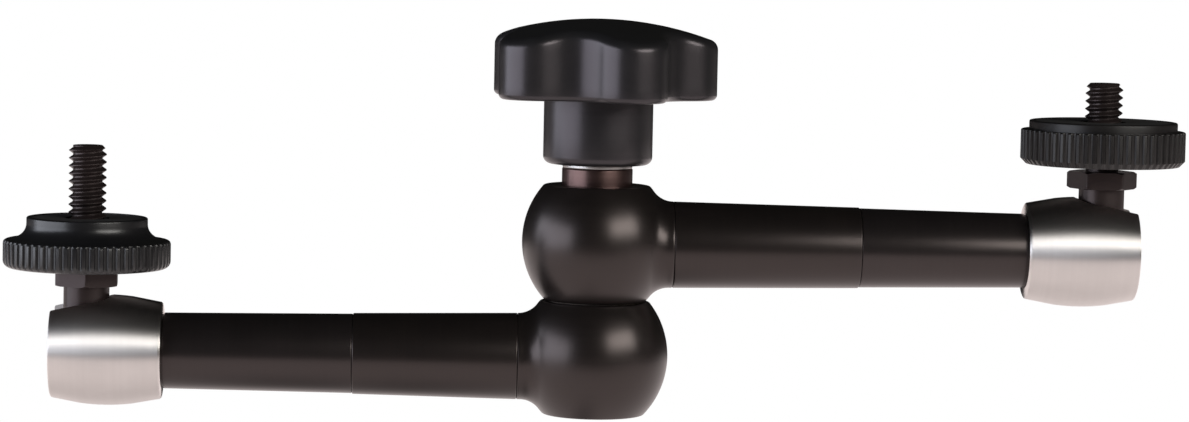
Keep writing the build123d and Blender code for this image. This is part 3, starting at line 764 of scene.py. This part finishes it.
@dataclass(frozen=True)
class ArmTubes:
    """Hub, taper tube, end tube and ball socket of one arm.

    Sizes are in millimetres, places are measured along the arm from the elbow's axis, and the heading
    is in degrees. The snap ring's groove is placed from the socket's face.
    """

    name: str
    heading: float
    height: float
    step: float
    tip_r: float
    hub: HubShape
    root_r: float = 7.13
    step_r: float = 6.67
    end_root_r: float = 6.55
    bore_r: float = 4.0
    spigot_length: float = 6.0
    seam_round: float = 0.22
    socket_face: float = 71.1
    mouth: float = 89.2
    reach: float = 83.6
    cavity_r: float = 6.08
    cavity_steps: int = 12
    journal_r: float = 6.0
    nose_end: float = 76.9
    shoulder_gap: float = 0.35
    groove_place: float = 3.2
    groove_half: float = 0.53
    journal_groove: float = 0.9
    socket_groove: float = 0.45
    barrel_r: float = 9.1
    crown_end_r: float = 8.85
    crown_inset: float = 4.9
    crown_steps: int = 9
    rim_r: float = 7.95
    rim_round: float = 0.3
    mouth_r: float = 4.6
    mouth_bevel: float = 0.5
    slot_half: float = 4.3
    slot_steps: int = 64
    slot_top: float = 14.0
    slot_overrun: float = 2.0
    stud_neck_r: float = 3.75
    stud_play: float = 0.8

    @property
    def seat(self) -> Seat:
        """Where the arm stands."""
        return Seat((0, 0, self.height), self.heading)

    @property
    def lathe(self) -> Lathe:
        """The arm's axis for tool marks."""
        return Lathe((0, 0, self.height * MM), True)

    def taper_tube(self) -> bpy.types.Object:
        """Turn the inner tube, counterbored for the spigots."""
        seam, step, deep, soft = self.hub.seam, self.step, self.spigot_length, self.seam_round
        spigot_r = self.hub.spigot_r
        return turned("taper_tube", [
            Corner(spigot_r, seam), Corner(self.root_r, seam, soft), Corner(self.step_r, step, soft),
            Corner(spigot_r, step), Corner(spigot_r, step - deep), Corner(self.bore_r, step - deep),
            Corner(self.bore_r, seam + deep), Corner(spigot_r, seam + deep),
        ], Axis.ALONG_ARM)

    def groove(self, surface_r: float, floor_r: float, way: int) -> list[Corner]:
        """Give the corners of a groove for the snap ring.

        Args:
            surface_r: Radius of the surface that it is cut into.
            floor_r: Radius of its floor.
            way: 1 for corners in order along the arm, -1 for the reverse.

        Returns:
            The corners.
        """
        ring = self.socket_face + self.groove_place
        near, far = ring - way * self.groove_half, ring + way * self.groove_half
        return [Corner(surface_r, near), Corner(floor_r, near),
                Corner(floor_r, far), Corner(surface_r, far)]

    def end_tube(self) -> bpy.types.Object:
        """Turn the outer tube with its spigot, shoulder, journal and ring groove."""
        step, shoulder, soft = self.step, self.socket_face - self.shoulder_gap, self.seam_round
        inner, spigot_r = step - self.spigot_length, self.hub.spigot_r
        return turned("end_tube", [
            Corner(self.bore_r, inner), Corner(spigot_r, inner, 0.3), Corner(spigot_r, step),
            Corner(self.end_root_r, step, soft), Corner(self.tip_r, shoulder, 0.1),
            Corner(self.journal_r, shoulder),
            *self.groove(self.journal_r, self.journal_r - self.journal_groove, 1),
            Corner(self.journal_r, self.nose_end, soft), Corner(self.bore_r, self.nose_end),
        ], Axis.ALONG_ARM)

    def slot_tool(self) -> bpy.types.Object:
        """Make the block with a round inner end that cuts the slot up to the mouth."""
        half, far = self.slot_half, self.mouth + self.slot_overrun
        centre = self.reach - self.stud_neck_r - self.stud_play + half
        circle = round_outline(half, (centre, 0.0), self.slot_steps, start=180 / self.slot_steps)
        inner_end = [(x, y) for x, y in circle if x < centre]
        return prism("slot", [(far, half), *inner_end, (far, -half)], 0.0, self.slot_top)

    def socket(self) -> bpy.types.Object:
        """Turn the crowned barrel with its ball cavity and cut the slot for the neck."""
        face, mouth, ball, mouth_r = self.socket_face, self.mouth, self.reach, self.mouth_r
        crown_in, crown_out = face + self.crown_inset, mouth - self.crown_inset
        half = (crown_out - crown_in) / 2
        rise = self.barrel_r - self.crown_end_r
        sweep = (half ** 2 + rise ** 2) / (2 * rise)
        middle = (crown_in + crown_out) / 2
        crown = [Corner(self.barrel_r - sweep + math.sqrt(sweep ** 2 - u ** 2), middle + u)
                 for u in np.linspace(-half, half, self.crown_steps)]
        lip = math.asin(mouth_r / self.cavity_r)
        hollow = [Corner(self.cavity_r * math.sin(a), ball + self.cavity_r * math.cos(a))
                  for a in np.linspace(lip, math.pi / 2, self.cavity_steps)]
        barrel = turned("socket", [
            Corner(self.cavity_r, face, 0.15), Corner(self.rim_r, face, self.rim_round), *crown,
            Corner(self.rim_r, mouth, self.rim_round), Corner(mouth_r + self.mouth_bevel, mouth),
            Corner(mouth_r, mouth - self.mouth_bevel), *hollow,
            *self.groove(self.cavity_r, self.cavity_r + self.socket_groove, -1),
        ], Axis.ALONG_ARM, steps=144)
        carve(barrel, self.slot_tool(), Cut.REMOVE)
        return barrel

    def assemble(self, bench: Bench, above: list, below: list) -> None:
        """Make and fit the arm's visible pieces, and dress those that stay.

        Args:
            bench: Where pieces are fitted.
            above: The hub's inner profile from its upper rim.
            below: The hub's inner profile from its lower rim.
        """
        name, seat, lathe = self.name, self.seat, self.lathe
        bench.fit(self.hub.build("hub", above, below), seat, f"{name}_hub", SATIN_BLACK, Lathe())
        bench.fit(self.taper_tube(), seat, f"{name}_taper_tube", SATIN_BLACK, lathe)
        bench.fit(self.end_tube(), seat, f"{name}_end_tube", GLOSS_BLACK, lathe)
        bench.fit(self.socket(), seat, f"{name}_socket", TURNED_BRIGHT, lathe)
        bench.coat(f"{name}_snap_ring", PLAIN_STEEL, lathe)
        bench.coat(f"{name}_push_rod", PLAIN_STEEL, lathe)
        bench.coat(f"{name}_ball_cup", BEARING_BRASS, lathe)


@dataclass(frozen=True)
class Wheel:
    """Lock wheel round the upright axis, in millimetres above the ball's centre.

    The flutes' marks are where columns of vertices stand, as shares of the way from the middle of a
    flute to its edge.
    """

    radius: float
    low: float
    top: float
    table_r: float
    corners: tuple[Corner, ...]
    flutes: int = 60
    flute_r: float = 0.5
    flute_depth: float = 0.38
    flute_marks: tuple[float, ...] = (0.36, 0.72, 1.02)
    pad_rim: float = 0.8
    pad_depth: float = 0.5
    pad_sink: float = 0.1
    pad_hole_r: float = 3.6
    pad_round: float = 0.12
    bore_r: float = 2.75

    def build(self) -> bpy.types.Object:
        """Turn the wheel with the pad's recess, then press the flutes into its rim."""
        columns = 2 * len(self.flute_marks) + 2
        recess_r, floor = self.table_r - self.pad_rim, self.top - self.pad_depth
        wheel = turned("wheel", [
            Corner(self.bore_r, self.low), *self.corners, Corner(recess_r, self.top),
            Corner(recess_r, floor), Corner(self.bore_r, floor),
        ], Axis.UPRIGHT, self.flutes * columns)
        self.press_flutes(wheel, columns)
        return wheel

    def press_flutes(self, wheel: bpy.types.Object, columns: int) -> None:
        """Move the rim's columns to the edges and floors of the flutes.

        Args:
            wheel: The turned wheel.
            columns: Columns of vertices to each flute.
        """
        place = self.radius + self.flute_r - self.flute_depth
        reach = (place ** 2 + self.radius ** 2 - self.flute_r ** 2) / (2 * place * self.radius)
        edge = math.acos(reach)
        pitch = 2 * math.pi / self.flutes
        even = np.arange(-columns // 2, columns // 2 + 1) * pitch / columns
        marks = [edge * mark for mark in self.flute_marks]
        wanted = np.array([-pitch / 2, *(-mark for mark in reversed(marks)), 0.0, *marks, pitch / 2])
        spots = np.empty(len(wheel.data.vertices) * 3, np.float32)
        wheel.data.vertices.foreach_get("co", spots)
        spots = spots.reshape(-1, 3).astype(float)
        radius = np.hypot(spots[:, 0], spots[:, 1])
        turn = np.arctan2(spots[:, 1], spots[:, 0])
        nearest = np.round(turn / pitch) * pitch
        offset = np.interp(turn - nearest, even, wanted)
        inside = np.clip(self.flute_r ** 2 - (place * np.sin(offset)) ** 2, 0, None)
        floor = place * np.cos(offset) - np.sqrt(inside)
        floor = np.where(np.abs(offset) < edge, floor, self.radius)
        radius = np.minimum(radius, floor)
        spots[:, 0] = radius * np.cos(nearest + offset)
        spots[:, 1] = radius * np.sin(nearest + offset)
        wheel.data.vertices.foreach_set("co", spots.reshape(-1).astype(np.float32))
        wheel.data.update()

    def pad(self) -> bpy.types.Object:
        """Turn the rubber ring that lies in the table."""
        outer, floor, top = self.table_r - self.pad_rim, self.top - self.pad_depth, self.top - self.pad_sink
        return turned("pad", [
            Corner(self.pad_hole_r, floor), Corner(outer, floor), Corner(outer, top, self.pad_round),
            Corner(self.pad_hole_r, top, self.pad_round)], Axis.UPRIGHT)


@dataclass(frozen=True)
class CameraHead:
    """Ball stud, lock wheel and pad at the end of one arm, in millimetres round the ball's centre.

    The hexagon's turn is in degrees, and the tooth's foot and flank are shares of the pitch.
    """

    name: str
    place: Point
    hex_turn: float
    stud_top: float
    wheel: Wheel
    wheel_finish: Finish = WHEEL_BLACK
    ball_r: float = 6.0
    ball_steps: int = 40
    neck_r: float = 3.75
    hex_low: float = 10.6
    hex_top: float = 13.4
    across_flats: float = 10.0
    hex_bevel: float = 0.45
    hex_bevel_rise: float = 0.26
    thread_r: float = 3.08
    thread_core_r: float = 2.42
    pitch: float = 1.27
    tooth_foot: float = 0.08
    tooth_flank: float = 0.45
    tip_bevel: float = 0.7
    seat_r: float = 2.67
    screw_gap: float = 0.03
    overlap: float = 0.3

    @property
    def screw_low(self) -> float:
        """Where the thread comes out of the wheel, just above the floor of the pad's recess."""
        return self.wheel.top - self.wheel.pad_depth + self.screw_gap

    def stem(self) -> bpy.types.Object:
        """Turn the ball, its neck and the plain part of the screw inside the wheel."""
        meet = math.asin(self.neck_r / self.ball_r)
        ball = [Corner(self.ball_r * math.sin(a), -self.ball_r * math.cos(a))
                for a in np.linspace(0, math.pi - meet, self.ball_steps)]
        in_hexagon, in_screw = self.hex_low + self.overlap, self.screw_low + self.overlap
        return turned("ball_stud", [
            *ball, Corner(self.neck_r, in_hexagon), Corner(self.seat_r, in_hexagon),
            Corner(self.seat_r, in_screw), Corner(0, in_screw),
        ], Axis.UPRIGHT, steps=96)

    def collar(self) -> bpy.types.Object:
        """Make the hexagon with its corners turned off above and below."""
        corner_r = self.across_flats / math.sqrt(3)
        low, top, rise, flat_r = self.hex_low, self.hex_top, self.hex_bevel_rise, corner_r - self.hex_bevel
        block = prism("hexagon", round_outline(corner_r, count=6, start=self.hex_turn), low, top)
        chamfer = turned("chamfer", [
            Corner(0, low), Corner(flat_r, low), Corner(corner_r, low + rise),
            Corner(corner_r, top - rise), Corner(flat_r, top), Corner(0, top),
        ], Axis.UPRIGHT, steps=144)
        carve(block, chamfer, Cut.KEEP_SHARED)
        return block

    def screw(self) -> bpy.types.Object:
        """Wind the camera thread and turn its tip to a bevel."""
        low, high, bevel = self.screw_low, self.stud_top, self.tip_bevel
        crest, root, p = self.thread_r, self.thread_core_r, self.pitch
        foot, flank, clear, spare_turns = self.tooth_foot, self.tooth_flank, 1.0, 2
        tooth = [(root, 0.0), (root, foot), (crest, flank),
                 (crest, 1 - flank), (root, 1 - foot), (root, 1.0)]
        winding = loop("camera_thread", [(r, 0.0, low - p + share * p) for r, share in tooth], "NOTHING")
        bpy.ops.object.mode_set(mode="EDIT")
        bpy.ops.mesh.select_mode(type="EDGE")
        shell = bmesh.from_edit_mesh(winding.data)
        for edge in shell.edges:
            edge.select = abs(edge.verts[0].co.z - edge.verts[1].co.z) > p - MERGE
        bmesh.update_edit_mesh(winding.data)
        bpy.ops.mesh.delete(type="EDGE")
        bpy.ops.mesh.select_mode(type="VERT")
        bpy.ops.object.mode_set(mode="OBJECT")
        bpy.ops.object.modifier_add(type="SCREW")
        turn = winding.modifiers[-1]
        turn.axis, turn.screw_offset = "Z", p
        turn.iterations = math.ceil((high - low) / p) + spare_turns
        turn.steps = turn.render_steps = 48
        turn.use_merge_vertices = True
        bpy.ops.object.modifier_apply(modifier=turn.name)
        for level, way in ((low, -1.0), (high, 1.0)):
            edit(winding)
            bpy.ops.mesh.bisect(plane_co=(0, 0, level), plane_no=(0, 0, way), use_fill=True,
                                clear_outer=True, threshold=1e-5)
        heal(winding)
        limit = turned("tip", [
            Corner(0, low - clear), Corner(crest + clear, low - clear),
            Corner(crest + clear, high - bevel - clear), Corner(crest - bevel, high), Corner(0, high),
        ], Axis.UPRIGHT, steps=48)
        carve(winding, limit, Cut.KEEP_SHARED)
        return winding

    def stud(self) -> bpy.types.Object:
        """Join stem, hexagon and screw into the one turned piece."""
        whole = self.stem()
        carve(whole, self.collar(), Cut.JOIN)
        carve(whole, self.screw(), Cut.JOIN)
        heal(whole)
        return whole

    def assemble(self, bench: Bench) -> None:
        """Make and fit the head's pieces."""
        seat = Seat(self.place)
        lathe = Lathe(tuple(value * MM for value in self.place), False)
        bench.fit(self.stud(), seat, f"{self.name}_ball_stud", STEEL_BLACK, lathe)
        bench.fit(self.wheel.build(), seat, f"{self.name}_lock_wheel", self.wheel_finish, lathe)
        bench.fit(self.wheel.pad(), seat, f"{self.name}_wheel_pad", RUBBER, lathe)


@dataclass(frozen=True)
class Clamp:
    """Collar, washer and hidden spindle at the elbow, in millimetres."""

    bore_r: float = 3.08
    nose_r: float = 4.0
    shank_r: float = 5.82
    base: float = 25.54
    cone_low: float = 27.04
    cone_high: float = 30.19
    top: float = 40.8
    washer_r: float = 5.75
    washer_top: float = 41.4

    def assemble(self, bench: Bench) -> None:
        """Make and fit the collar and the washer, and dress the spindle."""
        collar = turned("collar", [
            Corner(self.bore_r, self.base), Corner(self.nose_r, self.base, 0.2),
            Corner(self.nose_r, self.cone_low), Corner(self.shank_r, self.cone_high),
            Corner(self.shank_r, self.top, 0.3), Corner(self.bore_r, self.top),
        ], Axis.UPRIGHT)
        washer = turned("washer", [
            Corner(self.bore_r, self.top), Corner(self.washer_r, self.top, 0.12),
            Corner(self.washer_r, self.washer_top, 0.12), Corner(self.bore_r, self.washer_top),
        ], Axis.UPRIGHT)
        centre = Lathe()
        bench.fit(collar, Seat(), "clamp_cone", BRONZED, centre)
        bench.fit(washer, Seat(), "thrust_washer", POLISHED, centre)
        bench.coat("clamp_spindle", PLAIN_STEEL, centre)
        bench.coat("friction_washer", FIBRE, centre)


@dataclass(frozen=True)
class StarKnob:
    """Five-lobed grip on a round shank, in millimetres, with the first lobe's direction in degrees.

    The shares say where rows lie on the underside, from the rim to the shank, and down the shank.
    """

    radius: float = 19.5
    lobes: int = 5
    lobe_r: float = 6.0
    valley_r: float = 7.0
    first_lobe: float = 2.0
    base: float = 41.4
    head_base: float = 52.2
    crown: float = 65.3
    dome_r: float = 55.0
    top_round: float = 1.8
    under_round: float = 0.9
    shank_r: float = 9.0
    shank_round: float = 1.3
    insert_flats: float = 11.0
    insert_top: float = 55.9
    lobe_steps: int = 31
    valley_steps: int = 19
    dome_steps: int = 15
    dome_ease: float = 0.8
    edge_steps: int = 10
    side_steps: int = 7
    round_steps: int = 8
    under_shares: tuple[float, ...] = (0.3, 0.6, 0.85, 1.0)
    shank_shares: tuple[float, ...] = (0.03, 0.3, 0.65, 1.0)

    @property
    def quarter(self) -> np.ndarray:
        """Steps of a quarter turn, without its start."""
        return np.linspace(0, math.pi / 2, self.round_steps)[1:]

    def outline(self, inset: float = 0.0) -> tuple[np.ndarray, np.ndarray]:
        """Give the star's outline, moved inwards, and its outward directions.

        Args:
            inset: How far inside the real outline.

        Returns:
            Points and unit directions, as arrays of x and y.
        """
        lobe_place = self.radius - self.lobe_r
        half_pitch = math.pi / self.lobes
        between = self.lobe_r + self.valley_r
        aside, ahead = lobe_place * math.sin(half_pitch), lobe_place * math.cos(half_pitch)
        valley_place = ahead + math.sqrt(between ** 2 - aside ** 2)
        lean = math.atan2(valley_place * math.sin(half_pitch),
                          valley_place * math.cos(half_pitch) - lobe_place)
        points, ways = [], []
        for lobe in range(self.lobes):
            heading = math.radians(self.first_lobe) + 2 * half_pitch * lobe
            arcs = ((lobe_place, heading, self.lobe_r - inset, -lean, self.lobe_steps),
                    (valley_place, heading + half_pitch, -self.valley_r - inset, lean - half_pitch,
                     self.valley_steps))
            for place, toward, radius, start, steps in arcs:
                middle = place * np.array((math.cos(toward), math.sin(toward)))
                for turn in np.linspace(start, -start, steps)[:-1] + toward:
                    way = np.array((math.cos(turn), math.sin(turn)))
                    points.append(middle + way * radius)
                    ways.append(way)
        return np.array(points + points[:1]), np.array(ways + ways[:1])

    def dome(self, spots: np.ndarray, radius: float) -> np.ndarray:
        """Give the height of the crown's sphere, or one inside it, over points."""
        return self.crown - self.dome_r + np.sqrt(radius ** 2 - (spots ** 2).sum(-1))

    def head_rows(self) -> list[np.ndarray]:
        """Give the rows from the middle of the crown over the rounded edge and down the side."""
        inner, ways = self.outline(self.top_round)
        shares = np.linspace(0, 1, self.dome_steps) ** self.dome_ease
        rows = [np.column_stack([inner * share, self.dome(inner * share, self.dome_r)])
                for share in shares[:-1]]
        centre = np.column_stack([inner, self.dome(inner, self.dome_r - self.top_round)])
        ball = centre - np.array((0, 0, self.crown - self.dome_r))
        up = ball / np.linalg.norm(ball, axis=-1, keepdims=True)
        out = np.column_stack([ways, np.zeros(len(ways))])
        rows += [centre + self.top_round * lean for lean in swing(up, out, self.edge_steps)]
        edge, _ = self.outline()
        low, soft = self.head_base + self.under_round, self.under_round
        start = centre[:, 2]
        for share in np.linspace(0, 1, self.side_steps)[1:]:
            rows.append(np.column_stack([edge, start + (low - start) * share]))
        for turn in self.quarter:
            ring, _ = self.outline(soft * (1 - math.cos(turn)))
            rows.append(np.column_stack([ring, np.full(len(ring), low - soft * math.sin(turn))]))
        return rows

    def shank_rows(self, ring: np.ndarray) -> list[np.ndarray]:
        """Give the rows from the head's underside down the shank to its closed base.

        Args:
            ring: The last row of the head.

        Returns:
            The rows.
        """
        turns = np.arctan2(ring[:, 1], ring[:, 0])
        circle = np.column_stack([np.cos(turns), np.sin(turns)])
        rows = []
        for share in self.under_shares:
            spots = ring[:, :2] * (1 - share) + circle * self.shank_r * share
            rows.append(np.column_stack([spots, np.full(len(ring), self.head_base)]))
        low, soft = self.base + self.shank_round, self.shank_round
        levels = [(self.shank_r, self.head_base + (low - self.head_base) * share)
                  for share in self.shank_shares]
        levels += [(self.shank_r - soft * (1 - math.cos(a)), low - soft * math.sin(a))
                   for a in self.quarter]
        levels.append((0.0, self.base))
        return rows + [np.column_stack([circle * r, np.full(len(ring), z)]) for r, z in levels]

    def assemble(self, bench: Bench) -> None:
        """Make and fit the knob, and dress its insert."""
        head = self.head_rows()
        knob = sewn([draped("knob", np.array(head + self.shank_rows(head[-1])))])
        flats, below = self.insert_flats / math.sqrt(3), self.base - 1
        pocket = prism("pocket", round_outline(flats, count=6), below, self.insert_top)
        carve(knob, pocket, Cut.REMOVE)
        bench.fit(knob, Seat(), "star_knob", KNOB_BLACK, Lathe())
        bench.coat("knob_insert", BRASS, Lathe())


@dataclass(frozen=True)
class Softbox:
    """A lamp behind cloth, aimed at the object.

    Args:
        name: Name of the lamp.
        azimuth: Direction from the object, in degrees from the viewer towards the right.
        elevation: Height of its middle in degrees.
        distance: Distance in metres.
        width: Width in metres.
        height: Height in metres.
        radiance: Brightness of its face.
        colour: Colour of its light.
    """

    name: str
    azimuth: float
    elevation: float
    distance: float
    width: float
    height: float
    radiance: float
    colour: Colour

    def build(self, target: Vector) -> None:
        """Hang the lamp and aim it."""
        turn, lift = math.radians(self.azimuth), math.radians(self.elevation)
        way = Vector((math.sin(turn) * math.cos(lift), -math.cos(turn) * math.cos(lift), math.sin(lift)))
        deselect()
        bpy.ops.object.light_add(type="AREA", location=target + way * self.distance)
        lamp = bpy.context.object
        lamp.name = self.name
        lamp.rotation_euler = way.to_track_quat("Z", "Y").to_euler()
        lamp.data.shape = "RECTANGLE"
        lamp.data.size, lamp.data.size_y = self.width, self.height
        lamp.data.color = self.colour
        lamp.data.energy = self.radiance * math.pi * self.width * self.height


@dataclass(frozen=True)
class Studio:
    """White floor, reflecting board, lamps and the camera. Lengths are in metres, angles in degrees."""

    camera_place: Point = (-0.02559, -0.6453, 0.08362)
    yaw: float = 2.241
    pitch: float = 4.429
    roll: float = 1.172
    focal_pixels: float = 3928.4
    picture_width: float = 1189.0
    sensor: float = 36.0
    target: Point = (0.0, 0.0, 0.028)
    floor_drop: float = 0.00002
    floor_reach: float = 30.0
    board_drop: float = 0.3
    board_front: float = 1.3
    board_reach: float = 2.5
    board_light: Colour = (1.16, 1.04, 1.02)
    white: Colour = (1.0, 1.0, 1.0)
    dark: Colour = (0.010, 0.010, 0.009)
    shadow: float = 0.7
    shadow_place: tuple[float, float] = (-0.05, 0.05)
    shadow_size: tuple[float, float] = (0.06, 0.2)
    lamps: tuple[Softbox, ...] = (
        Softbox("left_softbox", azimuth=-74, elevation=7.0, distance=0.75, width=1.0, height=0.36,
                radiance=4.1, colour=(0.86, 0.90, 1.0)),
        Softbox("right_softbox", azimuth=44, elevation=20.5, distance=0.75, width=0.6, height=0.26,
                radiance=7.4, colour=(1.0, 0.98, 0.93)),
    )

    def camera(self) -> None:
        """Set up the camera at the photograph's place and angle."""
        yaw, pitch, roll = (math.radians(value) for value in (self.yaw, self.pitch, self.roll))
        ahead = Vector((math.sin(yaw) * math.cos(pitch), math.cos(yaw) * math.cos(pitch), -math.sin(pitch)))
        right = ahead.cross(Vector((0, 0, 1))).normalized()
        up = right.cross(ahead)
        level_x = math.cos(roll) * right + math.sin(roll) * up
        level_y = -math.sin(roll) * right + math.cos(roll) * up
        deselect()
        bpy.ops.object.camera_add(location=self.camera_place)
        camera = bpy.context.object
        camera.name = "product_camera"
        turn = Matrix((level_x, level_y, -ahead)).transposed()
        camera.rotation_euler = turn.to_euler()
        camera.data.sensor_width = self.sensor
        camera.data.lens = self.focal_pixels / self.picture_width * self.sensor
        camera.data.clip_start, camera.data.clip_end = 0.01, 100.0
        bpy.context.scene.camera = camera

    def lit_share(self, tree: Tree, shade: float) -> bpy.types.NodeSocket:
        """Give how much light a sheet gives back, less in the soft shadow under the lower arm.

        Args:
            tree: The tree of the sheet's material.
            shade: How dark the middle of the shadow is, 0 to 1.

        Returns:
            The output socket with the share of light.
        """
        place = tree.node("ShaderNodeTexCoord").outputs["Object"]
        x, y = self.shadow_place
        wide, deep = self.shadow_size
        round_spot = tree.node("ShaderNodeMapping", {
            "Vector": place, "Location": (-x / wide, -y / deep, 0.0), "Scale": (1 / wide, 1 / deep, 0.0),
        }).outputs[0]
        away = tree.node("ShaderNodeVectorMath", {0: round_spot}, operation="LENGTH").outputs["Value"]
        fall = tree.math("EXPONENT", tree.math("MULTIPLY", tree.math("MULTIPLY", away, away), -1.0))
        return tree.math("MULTIPLY_ADD", fall, -shade, 1.0)

    def sheet(self, name: str, colour: Colour, height: float, front: float, reach: float,
              shade: float = 0.0) -> bpy.types.Object:
        """Lay a flat lit sheet under the object.

        Args:
            name: Name of the sheet.
            colour: The light it gives back.
            height: Its height in metres.
            front: How far it comes forward.
            reach: How far it goes to the sides and back.
            shade: How dark the soft shadow under the lower arm is.

        Returns:
            The sheet.
        """
        deselect()
        bpy.ops.mesh.primitive_plane_add(size=2.0)
        made = bpy.context.object
        made.name = name
        for vertex in made.data.vertices:
            x, y, _ = vertex.co
            vertex.co = (x * reach, y * (reach if y > 0 else front), height)
        made.data.materials.append(bpy.data.materials.new(name))
        made.data.materials[0].use_nodes = True
        tree = Tree(made.data.materials[0].node_tree)
        light = tree.node("ShaderNodeEmission", {
            "Color": (*colour, 1.0), "Strength": self.lit_share(tree, shade)})
        tree.node("ShaderNodeOutputMaterial", {"Surface": light.outputs[0]})
        return made

    def world(self) -> None:
        """Make the surroundings dark to the object and white to the camera."""
        world = bpy.data.worlds.new("studio")
        world.use_nodes = True
        bpy.context.scene.world = world
        tree = Tree(world.node_tree)
        seen = tree.node("ShaderNodeLightPath").outputs["Is Camera Ray"]
        shade = tree.blend(seen, (*self.dark, 1.0), (*self.white, 1.0))
        air = tree.node("ShaderNodeBackground", {"Color": shade})
        tree.node("ShaderNodeOutputWorld", {"Surface": air.outputs[0]})

    def build(self) -> None:
        """Set up camera, sheets, lamps and surroundings."""
        self.camera()
        floor = self.sheet("white_floor", self.white, -self.floor_drop, self.floor_reach, self.floor_reach)
        floor.visible_diffuse = floor.visible_glossy = False
        floor.visible_transmission = floor.visible_shadow = False
        board = self.sheet("white_board", self.board_light, -self.board_drop, self.board_front,
                           self.board_reach, self.shadow)
        board.visible_camera = False
        self.world()
        for lamp in self.lamps:
            lamp.build(Vector(self.target))
        bpy.context.scene.view_settings.view_transform = "Standard"


def lower_wheel() -> Wheel:
    """Give the lower lock wheel, whose side sweeps in to a small table."""
    rim_r, table_r = 13.7, 9.9
    low, shoulder, top = 13.5, 18.1, 21.8
    sweep_out, sweep_up, sweep_steps = 3.2, 2.6, 12
    sweep = [Corner(table_r + sweep_out * (1 - math.sin(a)), shoulder + sweep_up * (1 - math.cos(a)))
             for a in np.linspace(0, math.pi / 2, sweep_steps)]
    return Wheel(rim_r, low, top, table_r, (
        Corner(rim_r, low, 1.2), Corner(rim_r, shoulder, 0.6), *sweep, Corner(table_r, top, 0.25)))


def upper_wheel() -> Wheel:
    """Give the upper lock wheel, with a bevelled underside and a wide table."""
    under_r, rim_r, table_r = 12.65, 13.55, 12.2
    low, bevel_top, step, top = 14.5, 15.4, 20.2, 21.7
    soft = 0.25
    return Wheel(rim_r, low, top, table_r, (
        Corner(under_r, low), Corner(rim_r, bevel_top), Corner(rim_r, step, soft),
        Corner(table_r, step), Corner(table_r, top, soft)))


def main() -> None:
    """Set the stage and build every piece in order."""
    logging.basicConfig(level=logging.INFO, format="%(name)s: %(message)s")
    tool_mark_group()
    edge_group()
    skin_group()
    Studio().build()
    bench = Bench(frame)
    lower = ArmTubes("lower", heading=180.0, height=9.35, step=39.8, tip_r=6.24, hub=HubShape())
    upper = ArmTubes("upper", heading=0.0, height=28.25, step=43.5, tip_r=6.12, hub=HubShape(top=9.65))
    lower.assemble(bench, above=[(7.58, 9.35), (7.58, 8.35), (5.9, 8.35), (5.9, -4.84), (0.0, -4.84)],
                   below=[(0.0, -9.35)])
    upper.assemble(bench, above=[(5.9, 9.65), (5.9, -3.11), (3.08, -3.11), (3.08, -11.35)],
                   below=[(5.82, -9.35), (5.82, -11.35), (3.08, -11.35)])
    CameraHead("lower", place=(-83.6, 0.0, 9.35), hex_turn=33.0, stud_top=33.65,
               wheel=lower_wheel()).assemble(bench)
    CameraHead("upper", place=(83.6, 0.0, 28.25), hex_turn=-4.0, stud_top=28.0,
               wheel=upper_wheel(), wheel_finish=SATIN_WHEEL).assemble(bench)
    Clamp().assemble(bench)
    StarKnob().assemble(bench)
    log.info("%d pieces made", bench.made)
    deselect()


if __name__ == "__main__":
    main()
